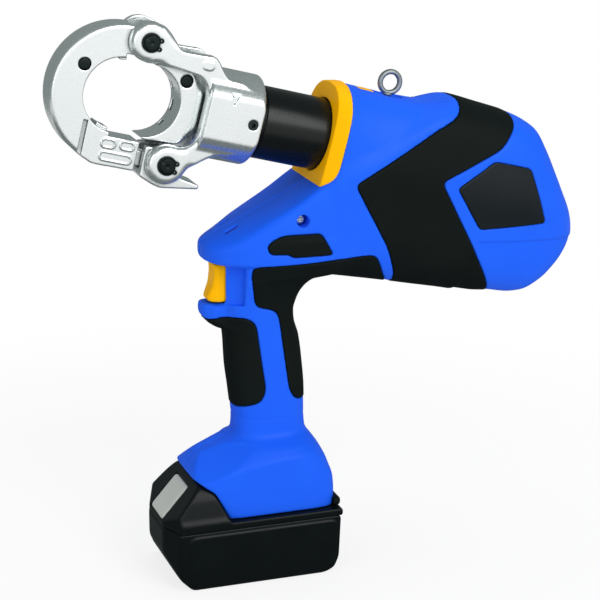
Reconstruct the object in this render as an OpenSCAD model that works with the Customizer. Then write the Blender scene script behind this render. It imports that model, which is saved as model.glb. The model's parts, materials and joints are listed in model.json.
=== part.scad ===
// Battery-powered hydraulic crimping tool with a hinged C-shaped head.
// The tool stands on its battery: origin at the centre of the battery's foot, +Z up, head toward -X.
// Lengths are in millimetres. Barrel pieces are drawn along their own axis: x rearward, z up.

/* [Placement] */
// Downward tilt of the barrel axis toward the rear, in degrees
barrel_tilt = 14.8; // [12:0.1:18]
// Distance of the jaw centre ahead of the origin
jaw_ahead = 83; // [75:0.5:90]
// Height of the jaw centre above the foot
jaw_height = 343; // [338:0.5:348]

/* [Crimping head] */
// Radius of the round die seats in yoke and ram jaw
seat_r = 25.5; // [24:0.1:26]
// Outer radius of the C-yoke
yoke_r = 46.5; // [44:0.5:49]
// Thickness of the yoke and of the ram jaw
jaw_t = 25; // [22:0.5:28]
// Thickness of one cheek of the fork
cheek_t = 8; // [6:0.5:10]
// Radius of the cheek bosses round the cross pins
boss_r = 12; // [10.5:0.5:13]
// Radius of the two cross pins
pin_r = 7; // [6:0.5:8]
// Distance from the yoke's seat centre to the ram's with the ram back
jaw_gap = 19.5; // [18:0.5:21]
// Radius of the die release buttons
die_button_r = 4.1; // [3.5:0.1:4.5]

/* [Cylinder] */
// Outer radius of the black cylinder barrel
cylinder_r = 24.5; // [24:0.1:25.5]
// Radius of the piston bore
bore_r = 18; // [17:0.1:19]
// Radius of the piston rod
rod_r = 10; // [9:0.1:11]

/* [Housing] */
// Wall of the moulded half shells
wall = 3; // [2.5:0.1:3.5]
// How far the soft grips stand proud of the shells
grip_proud = 0.8; // [0.4:0.1:1.2]
// How deep the soft grips are let into the shells
grip_sunk = 1.2; // [0.8:0.1:1.6]
// Points round each section of the shells
ring_points = 24; // [20:4:32]

/* [Trigger and buttons] */
// Half the width of the trigger
trigger_half_w = 9; // [7:0.5:10]
// Travel of the trigger
trigger_travel = 6; // [4:0.5:7]
// Outer radius of the suspension eye
eye_r = 9; // [8:0.5:9.5]
// Radius of the suspension eye's bore
eye_bore_r = 5.5; // [4.5:0.1:6]

/* [Battery] */
// Half the width of the battery
battery_half_w = 37.5; // [36:0.5:39]
// Height of the battery's seam between case and cover
battery_seam = 42; // [41:0.5:43]
// Wall of the battery case
battery_wall = 2.5; // [2:0.1:3]
// Radius of one round battery cell
cell_r = 9; // [8.5:0.1:9.2]

/* [Fits] */
// Gap between pieces that slide past each other
slide_gap = 0.35; // [0.3:0.05:0.5]
// Radial gap of a running fit
run_gap = 0.05; // [0.02:0.01:0.08]
// Gap between fixed pieces inside the shells
seat_gap = 0.25; // [0.2:0.05:0.4]

/* [Hidden] */
$fn = 64;

// Overrun of every cut past the face that it opens
over = 1;
// Sides of the round holes and posts moulded into the shells
shell_sides = 20;
// Reach of a cut or clip that must pass the whole tool
far = 600;

// Cross pins and fork, along the barrel from the yoke's seat centre
hinge_at = [9.5, 38.3];
latch_at = [38.5, -38];
cheek_in = jaw_t / 2 + slide_gap;
cheek_out = cheek_in + cheek_t;
pin_proud = 2.4;
pin_end = cheek_out + pin_proud;
pin_bore_r = pin_r + run_gap;
clip_t = 1;
clip_gap = 0.4;
clip_groove = 1;
clip_w = 2.2;
clip_r = pin_r + clip_w;
clip_slot = 3;
ear_r = 1.7;
ear_hole_r = 0.8;
fork_front = 62;
fork_rear = 97;
fork_r = 30.5;
fork_flat = 26.5;
fork_chamfer = 5;
fork_bore_front = 76;
// Side outline of an upper cheek behind its boss
upper_arm = [[9.5, 26.4], [26, 26], [56, 20.5], [78, 18], [78, 23], [72, 24], [64, 32], [59, 37.3],
    [37, 37.3], [28, 40.5], [19, 45.9]];
// Side outline of a lower cheek behind its boss
lower_arm = [[29, -30.7], [36, -26.3], [50, -24.3], [78, -18], [78, -21], [71, -22.5], [54, -37],
    [47, -46.4]];
grub_at = 88;
grub_r = 3;
grub_socket_r = 1.7;
grub_socket_depth = 2;

// Yoke
lug_r = 11.5;
way_half = 27.3;
seat_lip = 2;
block_front = -19;
block_end = 19.5;
block_low = -47;
block_low_front = -9.5;
block_front_low = -42.5;
block_front_top = -20;
groove_at = -17;
groove_w = 1.6;
groove_depth = 0.8;
groove_top = -20;
tongue_half_w = 5.5;
tongue_end = 27;
tongue_low = -44;
tongue_top = -34;
yoke_button_at = [-28, 15.4];
ram_button_at = [43.2, 18.8];
button_l = 10;
button_proud = 0.3;
die_button_travel = 2.5;
coil_wire = 0.9;
button_turns = 4;
button_coil_room = 6.8;
button_pocket = button_l - button_proud + die_button_travel + button_coil_room;

// Ram jaw, rod and piston
ram_half = 26.5;
ram_front = 17;
ram_rear = 58;
ram_shoulder = 41;
ram_rear_half = 13;
ram_corner = 52;
ram_corner_half = 20;
rod_front = 48;
rod_neck_r = 8;
piston_front = 130;
piston_rear = 146;
piston_neck_r = 7;
seal_front = 136;
seal_l = 4;
seal_depth = 3;
gland_rear = 92;
wiper_front = 66;
wiper_l = 4;
wiper_r = 13;
return_wire = 2.6;
return_turns = 6;
return_slack = 0.4;

// Cylinder
spigot_r = 22;
bore_rear = 160;
cylinder_rear = 172;
tail_r = 14;
tail_rear = 186;
tail_groove_r = 12;
tail_seal_at = 182;
tail_seal_l = 2.5;
port_r = 3;

// Latch lever
latch_hub_r = 10.5;
latch_slot_half = 6.5;
latch_outline = [[24, -29], [38.5, -28.4], [49.8, -38], [52, -45.8], [66, -48.2], [65.8, -51], [40, -54.7],
    [34, -53.4], [24.3, -49.6]];
latch_slot = [[20, -25], [51, -25], [51, -48], [27, -48], [27, -45.1], [20, -45.1]];
latch_wire = 1.6;
latch_coil_r = 8.4;
latch_turns = 5;

// Front collar and barrel openings of the shells
collar_front = 142;
collar_rear = 152;
collar_inset = 5.5;
collar_gap = 0.5;
collar_bore_r = cylinder_r + collar_gap;
// Lower lip of the collar under the cylinder: along the barrel and down
skirt_front = 133;
skirt_r = 28.6;
skirt_half_w = 15;
tunnel_gap = 0.9;
tunnel_r = cylinder_r + tunnel_gap;

// Sections of the barrel shell: along the barrel, top, bottom, half width, squareness
body_rings = [
    [152, 37, -47, 35, 2.8], [160, 36.8, -60, 35.6, 2.8], [172, 36.6, -78, 36.4, 2.8],
    [185, 36.5, -83.5, 37, 2.9], [204, 37, -84, 37.8, 3], [212, 40.5, -84, 38.2, 3],
    [221, 43.8, -84, 38.6, 3], [232, 44.2, -84, 38.8, 3], [255, 42.3, -83.5, 38.8, 3],
    [278, 39.3, -82.5, 38.2, 2.9], [294, 34.5, -80.5, 37, 2.8], [306, 28, -78, 35.2, 2.7],
    [318, 15.5, -74.5, 32.5, 2.6], [329, 0, -70, 29, 2.5], [338, -13.5, -63.5, 24.5, 2.4],
    [344.5, -24, -56, 18.5, 2.3], [348.5, -32, -48.5, 11, 2.2], [350, -38, -43, 4, 2]
];
// Sections of nose, handle and battery shoe: height, front, rear, half width, squareness
grip_rings = [
    [48, -17.5, 58.5, 33.5, 7], [58, -22.5, 59.5, 33.5, 7], [67, -28, 58, 33, 6],
    [70, -36, 57, 32, 5.5], [74, -40.5, 55.5, 30.5, 5], [79, -40, 53.5, 28.5, 4],
    [85, -35.5, 51, 25.5, 3.6], [91, -30, 48, 22.5, 3.2], [95, -21, 45.8, 20.5, 3],
    [98.5, -11.5, 44.3, 19.3, 2.8], [102, -8.5, 43.4, 18.8, 2.7], [110, -8, 43.2, 18.5, 2.6],
    [130, -9.5, 43, 18.5, 2.6], [150, -11.5, 41, 18.5, 2.6], [168, -12.8, 38.5, 18.7, 2.6],
    [180, -13.5, 37.5, 19.2, 2.7], [188, -14, 39, 20, 3], [196, -14, 43, 21.5, 3.2],
    [203, -14, 49, 23.5, 3.3], [208, -14, 56, 25.5, 3.3], [212, -14, 68, 27.5, 3.2],
    [215, -14, 84, 30, 3], [223.5, -14, 92, 33, 2.8], [224.5, -26, 94, 33, 2.4],
    [229, -29, 96, 34, 2.3], [236, -29.5, 98, 35, 2.3], [241, -27, 100, 35.3, 2.3],
    [254, -8, 100, 34.8, 2.3], [268, 15.5, 100, 33.5, 2.3], [277, 30, 100, 30.5, 2.3],
    [285, 42.5, 100, 25.5, 2.3], [296, 60, 100, 20, 2.3]
];
shoe_floor = 60;
cavity_top = 266;
cavity_rear = 110;
barrel_cavity_rear = 343;

// Outlines of the soft grips and the plate, on the barrel's side view
chevron = [[166, -25], [170, -20], [212, 21], [220, 34], [222, 60], [265, 60], [266, 36], [258, 18],
    [228, -11], [286, -79], [289, -100], [221, -100], [214, -81], [200, -62]];
plate_outline = [[238, -13], [261, 10], [289.5, 10], [312, -25], [263, -38]];
plate_proud = 0.2;
plate_sunk = 0.6;
// Outlines of the other soft grips, on the tool's side view
small_grip = [[9, 239], [13, 243], [21, 246], [46.5, 245.5], [55.5, 230], [27, 230.5], [24, 233],
    [11.5, 233.5]];
front_grip = [[-40, 182.5], [-2, 182.5], [4, 180], [7, 175], [13.5, 133], [12, 127], [8, 123.5],
    [-11, 119], [-40, 117]];
rear_grip = [[4, 222], [3, 215], [6, 197], [10, 192.5], [20, 189.5], [23.5, 183], [30, 131], [33, 126],
    [38, 123], [70, 121], [110, 190], [95, 210], [87, 226.5], [40, 224]];
panel_side = 12;
// Groove across the rear of the shells
rear_groove = [[261, -47.2], [360, -29], [360, -30.2], [261, -48.4]];

// Finger hook under the trigger and the trigger's side outline
hook = [[-8, 195], [-20.5, 194.8], [-25.8, 197.2], [-28.5, 196.5], [-29.3, 192.5], [-26, 187.5],
    [-19, 184.3], [-8, 183.5]];
hook_half_w = 10;
hook_tip_half_w = 5;
hook_taper_front = -30;
hook_taper_rear = -23;
trigger_back = -9;
trigger_top = 223;
trigger_low = 196.3;
trigger_outline = [[-20.8, trigger_top], [-20.3, 216], [-21.5, 208], [-25, 199.5], [-22, trigger_low],
    [trigger_back, trigger_low], [trigger_back, trigger_top]];
trigger_face_half_w = 5;
trigger_taper_front = -25.5;
trigger_taper_rear = -17;
trigger_slot_top = trigger_top + slide_gap;
trigger_slot_low = trigger_low - slide_gap;
trigger_coil_room = 5;
switch_at = [trigger_back + trigger_travel + trigger_coil_room, 199];
trigger_slot_rear = switch_at[0] - slide_gap;
switch_size = [32, 18, 22];
stem_z = 210;
stem_r = 3;
stem_end = 12;
stem_pocket = stem_end + trigger_travel + slide_gap;
trigger_wire = 0.9;
trigger_turns = 4;
trigger_coil_r = 4.6;

// Return button and its valve, suspension eye: along the barrel and up
return_at = 169;
return_size = [11, 12];
return_top = 37.6;
return_travel = 2.5;
valve_at = 178.5;
valve_r = 3.5;
valve_top = 27.6;
valve_low = 19.5;
return_foot = valve_top + return_travel + slide_gap;
return_foot_t = 1.5;
return_foot_half_w = 4;
return_foot_rear = 180.5;
eye_at = 186;
eye_up = 44.5;
eye_pocket_r = 11;
eye_pocket_floor = 34.6;
eye_boss_r = 12.5;
eye_boss_low = 29.6;
eye_shank_r = 2.4;
eye_shank_end = 28.5;
eye_nut_r = 4;
eye_nut_low = 28;
eye_nut_top = 29.3;
eye_flat = 0.25;
eye_tube_r = (eye_r - eye_bore_r + eye_flat) / 2;
eye_ring_r = eye_r - eye_tube_r;

// Screws through the shells: from the near side, and from the far side on both side views
near_screw_at = [[34, 255]];
far_screw_barrel_at = [[212, 33.5], [292, 28.4], [330, -34], [243, -74]];
far_screw_at = [[18, 150], [40, 76], [-22, 84]];
screw_r = 1.75;
screw_head_r = 3.6;
screw_head_h = 2.6;
screw_seat = 11;
screw_l = 18;
screw_cross_w = 1;
screw_cross_depth = 1.2;
boss_post_r = 5.6;
boss_hole_r = 4.3;

// Work light lenses in the nose
lens_at = [-7.5, 13, 250];
lens_size = [9, 2.6];
lens_tilt = 32;
lens_depth = 5;
lens_proud = 0.6;

// Pump, gearbox and motor along the barrel
pump_front = 174;
pump_rear = 214;
pump_r = 27;
pump_tail_bore_r = tail_r + run_gap;
bearing_r = 18;
bearing_rear = 180;
tail_bore_rear = 188;
crank_front = 200;
crank_bore_r = 15.5;
plunger_at = 207;
plunger_r = 4;
plunger_top = 25;
plunger_low = 14.4;
relief_at = 194;
relief_r = 3.5;
relief_low = 20;
relief_top = 29;
crank_disc_r = 8;
crank_throw = 2;
crank_race_r = 12;
crank_disc_front = 203;
crank_disc_rear = 211;
crank_shaft_r = 5;
carrier_front = 222;
carrier_rear = 226;
carrier_r = 16;
gear_front = 215;
gear_rear = 246;
gear_wall_rear = 219;
gear_r = 24;
gear_bore_r = 18.3;
gear_shaft_bore_r = 7;
planet_count = 3;
planet_orbit_r = 11.5;
planet_r = 6.2;
planet_bore_r = 2.05;
planet_pin_r = 2;
planet_front = 227;
planet_rear = 236;
sun_r = 4.8;
sun_front = 226.8;
sun_rear = 238;
motor_front = 247;
motor_rear = 306;
motor_r = 22;
motor_wall = 2;
motor_bearing_r = 7;
motor_bearing_l = 4;
rotor_shaft_r = 3;
rotor_rear = 309;
armature_r = 16;
armature_front = 257;
armature_rear = 295;

// Reservoir, board and terminal block
tank_front = 180;
tank_rear = 232;
tank_top = -38;
tank_low = -70;
tank_half_w = 24;
tank_neck_at = 200;
tank_neck_r = 6;
board_front = 250;
board_rear = 300;
board_v = -60;
board_t = 1.6;
board_half_w = 21;
chip_size = [8, 8, 5];
chip_pitch = 14;
chip_count = 3;
chip_front = board_front + chip_size[0];
block_at = [0, shoe_floor];
block_size = [38, 36, 9];
blade_t = 1.2;
blade_l = 24;
blade_y = 12;
blade_low = 53.4;
blade_root = 1;

// Ribs inside the shells, along the barrel
rib_t = 2.4;
barrel_ribs = [182, 208, 230, 262, 294];
barrel_rib_low = -86;
switch_rib_x = 20;
switch_rib_low = 190;
switch_rib_top = 232;
terminal_rib_z = block_at[1] + block_size[2] + seat_gap;

// Battery: side profile of case, cover hump, plan of the front corners, rails
battery_front = -61;
case_rear = 58;
cover_rear = 60.5;
cover_top = 47;
slope_low = 45.5;
slope_top = [-41, 73];
case_profile = [[-46, 0], [46, 0], [54, 3.5], [case_rear, 12], [case_rear, battery_seam],
    [battery_front, battery_seam], [battery_front, 24], [-54, 9]];
cover_profile = [[battery_front, battery_seam], [cover_rear, battery_seam], [cover_rear, cover_top],
    [-18.5, cover_top], [-28.6, 66.6], [-37, 70], slope_top, [battery_front, slope_low]];
hump_front_view = [[-38, 30], [38, 30], [38, cover_top], [32.5, 52], [31, 62], [27, 69], [22, 75], [-22, 75],
    [-27, 69], [-31, 62], [-32.5, 52], [-38, cover_top]];
plan_corner = [8, 11];
rail_front = -22;
rail_rear = 50;
rail_half_w = 27;
rail_stem_half_w = 22;
rail_neck_top = 51;
rail_top = 56;
dock_rear = 51;
dock_gap = 0.4;
cell_count = 5;
cell_rows = 2;
cell_l = 65;
cell_pitch = 19;
cell_low = battery_wall + seat_gap;
cell_x0 = -38;
contact_size = [20, 0.8, 4];
contact_low = 49;
contact_front = 14;
blade_slot_w = 3;
contact_y = blade_y + (blade_slot_w - contact_size[1]) / 2;
blade_slot_low = 48.5;
// Button on the hump's slope: foot of the slope, angle, size
slope_foot = [battery_front, slope_low];
slope_angle = atan2(slope_top[1] - slope_low, slope_top[0] - battery_front);
battery_button_from = 4;
battery_button_l = 23;
battery_button_half_w = 14;
battery_button_h = 7;
battery_button_proud = 0.5;
battery_button_travel = 3;
battery_coil_r = 4;
battery_coil_room = 5.5;
battery_button_pocket = battery_button_h - battery_button_proud + battery_button_travel + battery_coil_room;
battery_screw_at = [[-52.3, 27], [52.6, 30]];
battery_screw_r = 1.6;
battery_screw_head_r = 3;
battery_screw_head_h = 2;
battery_screw_l = 31;
battery_screw_low = 14;

// Places a child that is drawn along the barrel
module on_barrel() {
    translate([-jaw_ahead, 0, jaw_height])
        rotate([0, barrel_tilt, 0])
            children();
}

// Round bar along the barrel
module bar(from, to, r) {
    translate([from, 0, 0])
        rotate([0, 90, 0])
            cylinder(h = to - from, r = r);
}

// Tapered bar along the barrel
module taper(from, to, r_from, r_to) {
    translate([from, 0, 0])
        rotate([0, 90, 0])
            cylinder(h = to - from, r1 = r_from, r2 = r_to);
}

// Round bar across the tool at a place on the side view
module cross_bar(at, from, to, r) {
    translate([at[0], to, at[1]])
        rotate([90, 0, 0])
            cylinder(h = to - from, r = r);
}

// Upright round bar at a place in plan
module post(at, from, to, r) {
    translate([at[0], at[1], from])
        cylinder(h = to - from, r = r);
}

// Side-view outline given a thickness across the tool
module slab(from, to) {
    translate([0, to, 0])
        rotate([90, 0, 0])
            linear_extrude(to - from)
                children();
}

// Box from one corner to the other
module box(low, high) {
    translate(low)
        cube(high - low);
}

// Plan of a piece that narrows toward its front
module front_taper(front, rear, front_half_w, rear_half_w) {
    polygon([[front, -front_half_w], [rear, -rear_half_w], [far, -rear_half_w], [far, rear_half_w],
        [rear, rear_half_w], [front, front_half_w]]);
}

// Closed coil of round wire standing on the origin: a tube along a helix
module coil(r, wire, turns, height) {
    steps = 8;
    sides = 6;
    rings = steps * turns;
    points = [
        for (i = [0 : rings], j = [0 : sides - 1])
            let (a = 360 * i / steps, b = 360 * j / sides, q = r + wire / 2 * cos(b))
                [q * cos(a), q * sin(a), wire / 2 + (height - wire) * i / rings + wire / 2 * sin(b)]
    ];
    walls = [
        for (i = [0 : rings - 1], j = [0 : sides - 1], half = [0, 1])
            let (k = (j + 1) % sides, a = i * sides, b = a + sides)
                half == 0 ? [a + j, b + j, b + k] : [a + j, b + k, a + k]
    ];
    first = [for (j = [0 : sides - 1]) j];
    last = [for (j = [sides - 1 : -1 : 0]) rings * sides + j];
    polyhedron(points, concat([first], walls, [last]));
}

// Coil that lies along the barrel
module barrel_coil(from, to, r, wire, turns) {
    translate([from, 0, 0])
        rotate([0, 90, 0])
            coil(r, wire, turns, to - from);
}

// Coil that lies across the tool, starting at the given depth and running toward +Y
module cross_coil(at, from, to, r, wire, turns) {
    translate([at[0], from, at[1]])
        rotate([-90, 0, 0])
            coil(r, wire, turns, to - from);
}

// Radius of a many-sided hole whose sides clear a circle
function around(r) = r / cos(180 / shell_sides);

// Signed power: the rule that squares off a round section
function squared(t, n) = sign(t) * pow(abs(t), 2 / n);

// Points of one barrel section, grown by a margin
function body_ring(s, grow) = [
    for (i = [0 : ring_points - 1])
        let (a = 360 * i / ring_points, middle = (s[1] + s[2]) / 2, half = (s[1] - s[2]) / 2 + grow)
            [s[0], (s[3] + grow) * squared(sin(a), s[4]), middle + half * squared(cos(a), s[4])]
];

// Points of one section of nose, handle or shoe, grown by a margin
function grip_ring(s, grow) = [
    for (i = [0 : ring_points - 1])
        let (a = 360 * i / ring_points, middle = (s[1] + s[2]) / 2, half = (s[2] - s[1]) / 2 + grow)
            [middle + half * squared(cos(a), s[4]), (s[3] + grow) * squared(sin(a), s[4]), s[0]]
];

// Solid between two sections with the same number of points
module between(a, b) {
    n = len(a);
    first = [for (i = [0 : n - 1]) i];
    last = [for (i = [n - 1 : -1 : 0]) n + i];
    walls = [for (i = [0 : n - 1]) [i, n + i, n + (i + 1) % n, (i + 1) % n]];
    hull()
        polyhedron(concat(a, b), concat([first], walls, [last]));
}

// Barrel shell as one solid, grown by a margin
module body_form(grow) {
    on_barrel()
        for (i = [0 : len(body_rings) - 2])
            between(body_ring(body_rings[i], grow), body_ring(body_rings[i + 1], grow));
}

// Nose, handle and shoe as one solid, grown by a margin
module grip_form(grow) {
    for (i = [0 : len(grip_rings) - 2])
        between(grip_ring(grip_rings[i], grow), grip_ring(grip_rings[i + 1], grow));
}

// Both forms together
module shell_form(grow) {
    body_form(grow);
    grip_form(grow);
}

// Everything inside the shells that stays open, with the supporting ribs left standing
module shell_cavity() {
    difference() {
        intersection() {
            shell_form(-wall);
            union() {
                box([-far, -far, shoe_floor], [cavity_rear, far, cavity_top]);
                on_barrel()
                    box([collar_rear + wall, -far, -far], [barrel_cavity_rear, far, far]);
            }
        }
        rib_walls();
        screw_posts();
    }
}

// Ribs that carry pump, gearbox, motor, board, reservoir, switch and terminals, and the boss under the eye
module rib_walls() {
    on_barrel() {
        for (at = barrel_ribs)
            difference() {
                box([at, -far, barrel_rib_low], [at + rib_t, far, far]);
                drive_space();
                tank_space();
                board_space();
            }
        post([eye_at, 0], eye_boss_low, far, eye_boss_r);
    }
    difference() {
        box([switch_rib_x, -far, switch_rib_low], [switch_rib_x + rib_t, far, switch_rib_top]);
        box([switch_rib_x - over, -switch_size[1] / 2 - seat_gap, switch_at[1] - seat_gap],
            [switch_rib_x + rib_t + over, switch_size[1] / 2 + seat_gap,
                switch_at[1] + switch_size[2] + seat_gap]);
    }
    box([-far, -far, terminal_rib_z], [block_at[0] + block_size[0], far, terminal_rib_z + rib_t]);
}

// Space of pump, gearbox and motor inside the ribs
module drive_space() {
    bar(pump_front - over, pump_rear + seat_gap, around(pump_r + seat_gap));
    bar(pump_rear, gear_rear, around(gear_r + seat_gap));
    bar(gear_rear, far, around(motor_r + seat_gap));
}

// Space of the oil reservoir inside the ribs
module tank_space() {
    box([tank_front - seat_gap, -tank_half_w - seat_gap, tank_low - seat_gap],
        [tank_rear + seat_gap, tank_half_w + seat_gap, 0]);
}

// Space of the control board inside the ribs
module board_space() {
    box([board_front - over, -board_half_w - seat_gap, board_v - seat_gap],
        [board_rear + over, board_half_w + seat_gap, board_v + board_t + seat_gap]);
    box([board_front - over, -chip_pitch, board_v], [board_rear + over, chip_pitch, 0]);
}

// Posts that the housing screws pass through
module screw_posts() {
    for (at = concat(near_screw_at, far_screw_at))
        cross_bar(at, -far, far, boss_post_r);
    on_barrel()
        for (at = far_screw_barrel_at)
            cross_bar(at, -far, far, boss_post_r);
}

// Holes for the housing screws
module screw_holes() {
    for (at = near_screw_at) {
        cross_bar(at, -screw_seat - screw_head_h, screw_l - screw_seat, screw_r + seat_gap);
        cross_bar(at, -far, -screw_seat, boss_hole_r);
    }
    for (at = far_screw_at)
        far_screw_hole(at);
    on_barrel()
        for (at = far_screw_barrel_at)
            far_screw_hole(at);
}

// Hole of one screw that enters from the far side
module far_screw_hole(at) {
    cross_bar(at, screw_seat - screw_l, screw_seat + screw_head_h, screw_r + seat_gap);
    cross_bar(at, screw_seat, far, boss_hole_r);
}

// Way of the battery's rails along the shoe
module dock() {
    box([-far, -rail_stem_half_w - dock_gap, -over],
        [dock_rear, rail_stem_half_w + dock_gap, rail_top + dock_gap]);
    box([-far, -rail_half_w - dock_gap, rail_neck_top - dock_gap],
        [dock_rear, rail_half_w + dock_gap, rail_top + dock_gap]);
}

// Openings of the shells for trigger, switch stem, blades, lights, button, eye, cylinder and pump
module shell_openings() {
    box([-far, -trigger_half_w - slide_gap, trigger_slot_low],
        [trigger_slot_rear, trigger_half_w + slide_gap, trigger_slot_top]);
    box([switch_at[0] - over, -switch_size[1] / 2 - seat_gap, switch_at[1] - seat_gap],
        [switch_at[0] + switch_size[0] + seat_gap, switch_size[1] / 2 + seat_gap,
            switch_at[1] + switch_size[2] + seat_gap]);
    for (side = [-1, 1])
        box([block_at[0] + blade_root - seat_gap, side * blade_y - blade_t / 2 - seat_gap, rail_top],
            [block_at[0] + blade_root + blade_l + seat_gap, side * blade_y + blade_t / 2 + seat_gap,
                shoe_floor + over]);
    lens_spaces(seat_gap);
    on_barrel() {
        bar(-far, pump_front, tunnel_r);
        box([return_at - return_size[0] / 2 - slide_gap, -return_size[1] / 2 - slide_gap, 0],
            [return_at + return_size[0] / 2 + slide_gap, return_size[1] / 2 + slide_gap, far]);
        box([return_at, -return_foot_half_w - slide_gap, 0],
            [return_foot_rear + slide_gap, return_foot_half_w + slide_gap,
                return_foot + return_foot_t + slide_gap]);
        post([eye_at, 0], eye_pocket_floor, far, eye_pocket_r);
        post([eye_at, 0], 0, far, around(eye_shank_r + slide_gap));
        post([eye_at, 0], eye_nut_low - slide_gap, eye_boss_low, around(eye_nut_r + slide_gap));
    }
}

// Bodies of the work light lenses, grown by a gap
module lens_spaces(gap) {
    for (side = [-1, 1])
        translate([lens_at[0], side * lens_at[1], lens_at[2]])
            rotate([0, -lens_tilt, 0])
                box([-lens_size[0] / 2 - gap, -lens_size[1] / 2 - gap, -lens_depth],
                    [lens_size[0] / 2 + gap, lens_size[1] / 2 + gap, gap > 0 ? far : lens_proud]);
}

// Recesses that the soft grips and the plate lie in
module grip_recesses() {
    difference() {
        union() {
            on_barrel() slab(-far, far) polygon(chevron);
            slab(-far, far) polygon(front_grip);
            slab(-far, far) polygon(rear_grip);
            for (side = [-1, 1])
                slab(side < 0 ? -far : panel_side, side < 0 ? -panel_side : far) polygon(small_grip);
        }
        shell_form(-grip_sunk);
    }
    difference() {
        on_barrel() {
            slab(-far, -panel_side) polygon(plate_outline);
            slab(-far, far) polygon(rear_groove);
        }
        body_form(-plate_sunk);
    }
}

// Both half shells before they are split
module shells() {
    difference() {
        union() {
            shell_form(0);
            intersection() {
                slab(-hook_half_w, hook_half_w) polygon(hook);
                linear_extrude(far)
                    front_taper(hook_taper_front, hook_taper_rear, hook_tip_half_w, hook_half_w);
            }
        }
        shell_cavity();
        on_barrel() collar_solid(around(skirt_r));
        grip_recesses();
        dock();
        shell_openings();
        screw_holes();
    }
}

// Near half shell
module housing_left() {
    color([0.12, 0.38, 0.95])
        intersection() {
            shells($fn = shell_sides);
            box([-far, -far, -far], [far, 0, far]);
        }
}

// Far half shell
module housing_right() {
    color([0.12, 0.38, 0.95])
        intersection() {
            shells($fn = shell_sides);
            box([-far, 0, -far], [far, far, far]);
        }
}

// Outside of the collar: a tapered ring on the first section, and a lip under the cylinder
module collar_solid(lip_r) {
    first = body_rings[0];
    front = [collar_front, first[1], first[2], first[3], first[4]];
    between(body_ring(front, -collar_inset), body_ring(first, 0));
    intersection() {
        bar(skirt_front, collar_rear, lip_r);
        box([skirt_front, -skirt_half_w, -far], [collar_rear, skirt_half_w, 0]);
    }
}

// Yellow collar that closes the front of the shells round the cylinder
module front_collar() {
    color([1, 0.73, 0])
        on_barrel()
            difference() {
                collar_solid(skirt_r);
                bar(skirt_front - over, collar_rear + over, collar_bore_r);
            }
}

// One soft skin within a side-view clip, from sunk to proud
module skin(proud, sunk) {
    difference() {
        intersection() {
            shell_form(proud);
            children();
        }
        shell_form(-sunk);
    }
}

// Chevron band on one side
module side_grip(side) {
    color([0.1, 0.12, 0.12])
        difference() {
            intersection() {
                body_form(grip_proud);
                on_barrel() slab(side < 0 ? -far : 0, side < 0 ? 0 : far) polygon(chevron);
            }
            body_form(-grip_sunk);
            grip_form(0);
        }
}
module side_grip_left() { side_grip(-1); }
module side_grip_right() { side_grip(1); }

// Small soft panel in front of the band on one side
module small_grip_panel(side) {
    color([0.1, 0.12, 0.12])
        skin(grip_proud, grip_sunk)
            slab(side < 0 ? -far : panel_side, side < 0 ? -panel_side : far) polygon(small_grip);
}
module small_grip_left() { small_grip_panel(-1); }
module small_grip_right() { small_grip_panel(1); }

// Soft front of the handle
module handle_front_grip() {
    color([0.1, 0.12, 0.12])
        skin(grip_proud, grip_sunk) slab(-far, far) polygon(front_grip);
}

// Soft back of the handle, running under the barrel
module handle_rear_grip() {
    color([0.1, 0.12, 0.12])
        skin(grip_proud, grip_sunk) slab(-far, far) polygon(rear_grip);
}

// Bare dark plate on the near side
module side_plate() {
    color([0.14, 0.17, 0.22])
        difference() {
            intersection() {
                body_form(plate_proud);
                on_barrel() slab(-far, -panel_side) polygon(plate_outline);
            }
            body_form(-plate_sunk);
        }
}

// One housing screw with its head at the seat, pointing toward -Y
module housing_screw(at) {
    difference() {
        union() {
            cross_bar(at, screw_seat - screw_l + over, screw_seat + over, screw_r);
            cross_bar(at, screw_seat, screw_seat + screw_head_h, screw_head_r);
        }
        for (turn = [0, 90])
            translate([at[0], screw_seat + screw_head_h - screw_cross_depth, at[1]])
                rotate([0, turn, 0])
                    translate([-screw_head_r / 2, 0, -screw_cross_w / 2])
                        cube([screw_head_r, screw_cross_depth + over, screw_cross_w]);
    }
}

// All screws that hold the half shells together
module housing_screws() {
    color([0.6, 0.62, 0.65]) {
        mirror([0, 1, 0])
            for (at = near_screw_at)
                housing_screw(at);
        for (at = far_screw_at)
            housing_screw(at);
        on_barrel()
            for (at = far_screw_barrel_at)
                housing_screw(at);
    }
}

// Clear lenses of the two work lights
module work_light_lenses() {
    color([0.85, 0.9, 0.95])
        lens_spaces(0);
}

// Aluminium block with the pump, the swivel socket and the valves
module pump_block() {
    color([0.75, 0.76, 0.78])
        on_barrel()
            difference() {
                bar(pump_front, pump_rear, pump_r);
                bar(pump_front - over, bearing_rear, bearing_r);
                bar(pump_front, tail_bore_rear, pump_tail_bore_r);
                bar(tail_bore_rear - over, crank_front + over, port_r);
                bar(crank_front, pump_rear + over, crank_bore_r);
                post([plunger_at, 0], 0, plunger_top, plunger_r + seat_gap);
                post([relief_at, 0], relief_low, far, relief_r + seat_gap);
                post([valve_at, 0], valve_low, far, valve_r + seat_gap);
            }
}

// Pump plunger, standing over the eccentric at the end of its stroke
module pump_plunger() {
    color([0.7, 0.7, 0.72])
        on_barrel()
            post([plunger_at, 0], plunger_low, plunger_top, plunger_r);
}

// Bush that the turning cylinder runs in
module cylinder_bearing() {
    color([0.72, 0.55, 0.25])
        on_barrel()
            difference() {
                bar(pump_front, bearing_rear, bearing_r);
                bar(pump_front - over, bearing_rear + over, pump_tail_bore_r);
            }
}

// Valve that lets the oil back when the return button is pressed
module release_valve() {
    color([0.72, 0.55, 0.25])
        on_barrel()
            post([valve_at, 0], valve_low, valve_top, valve_r);
}

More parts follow.
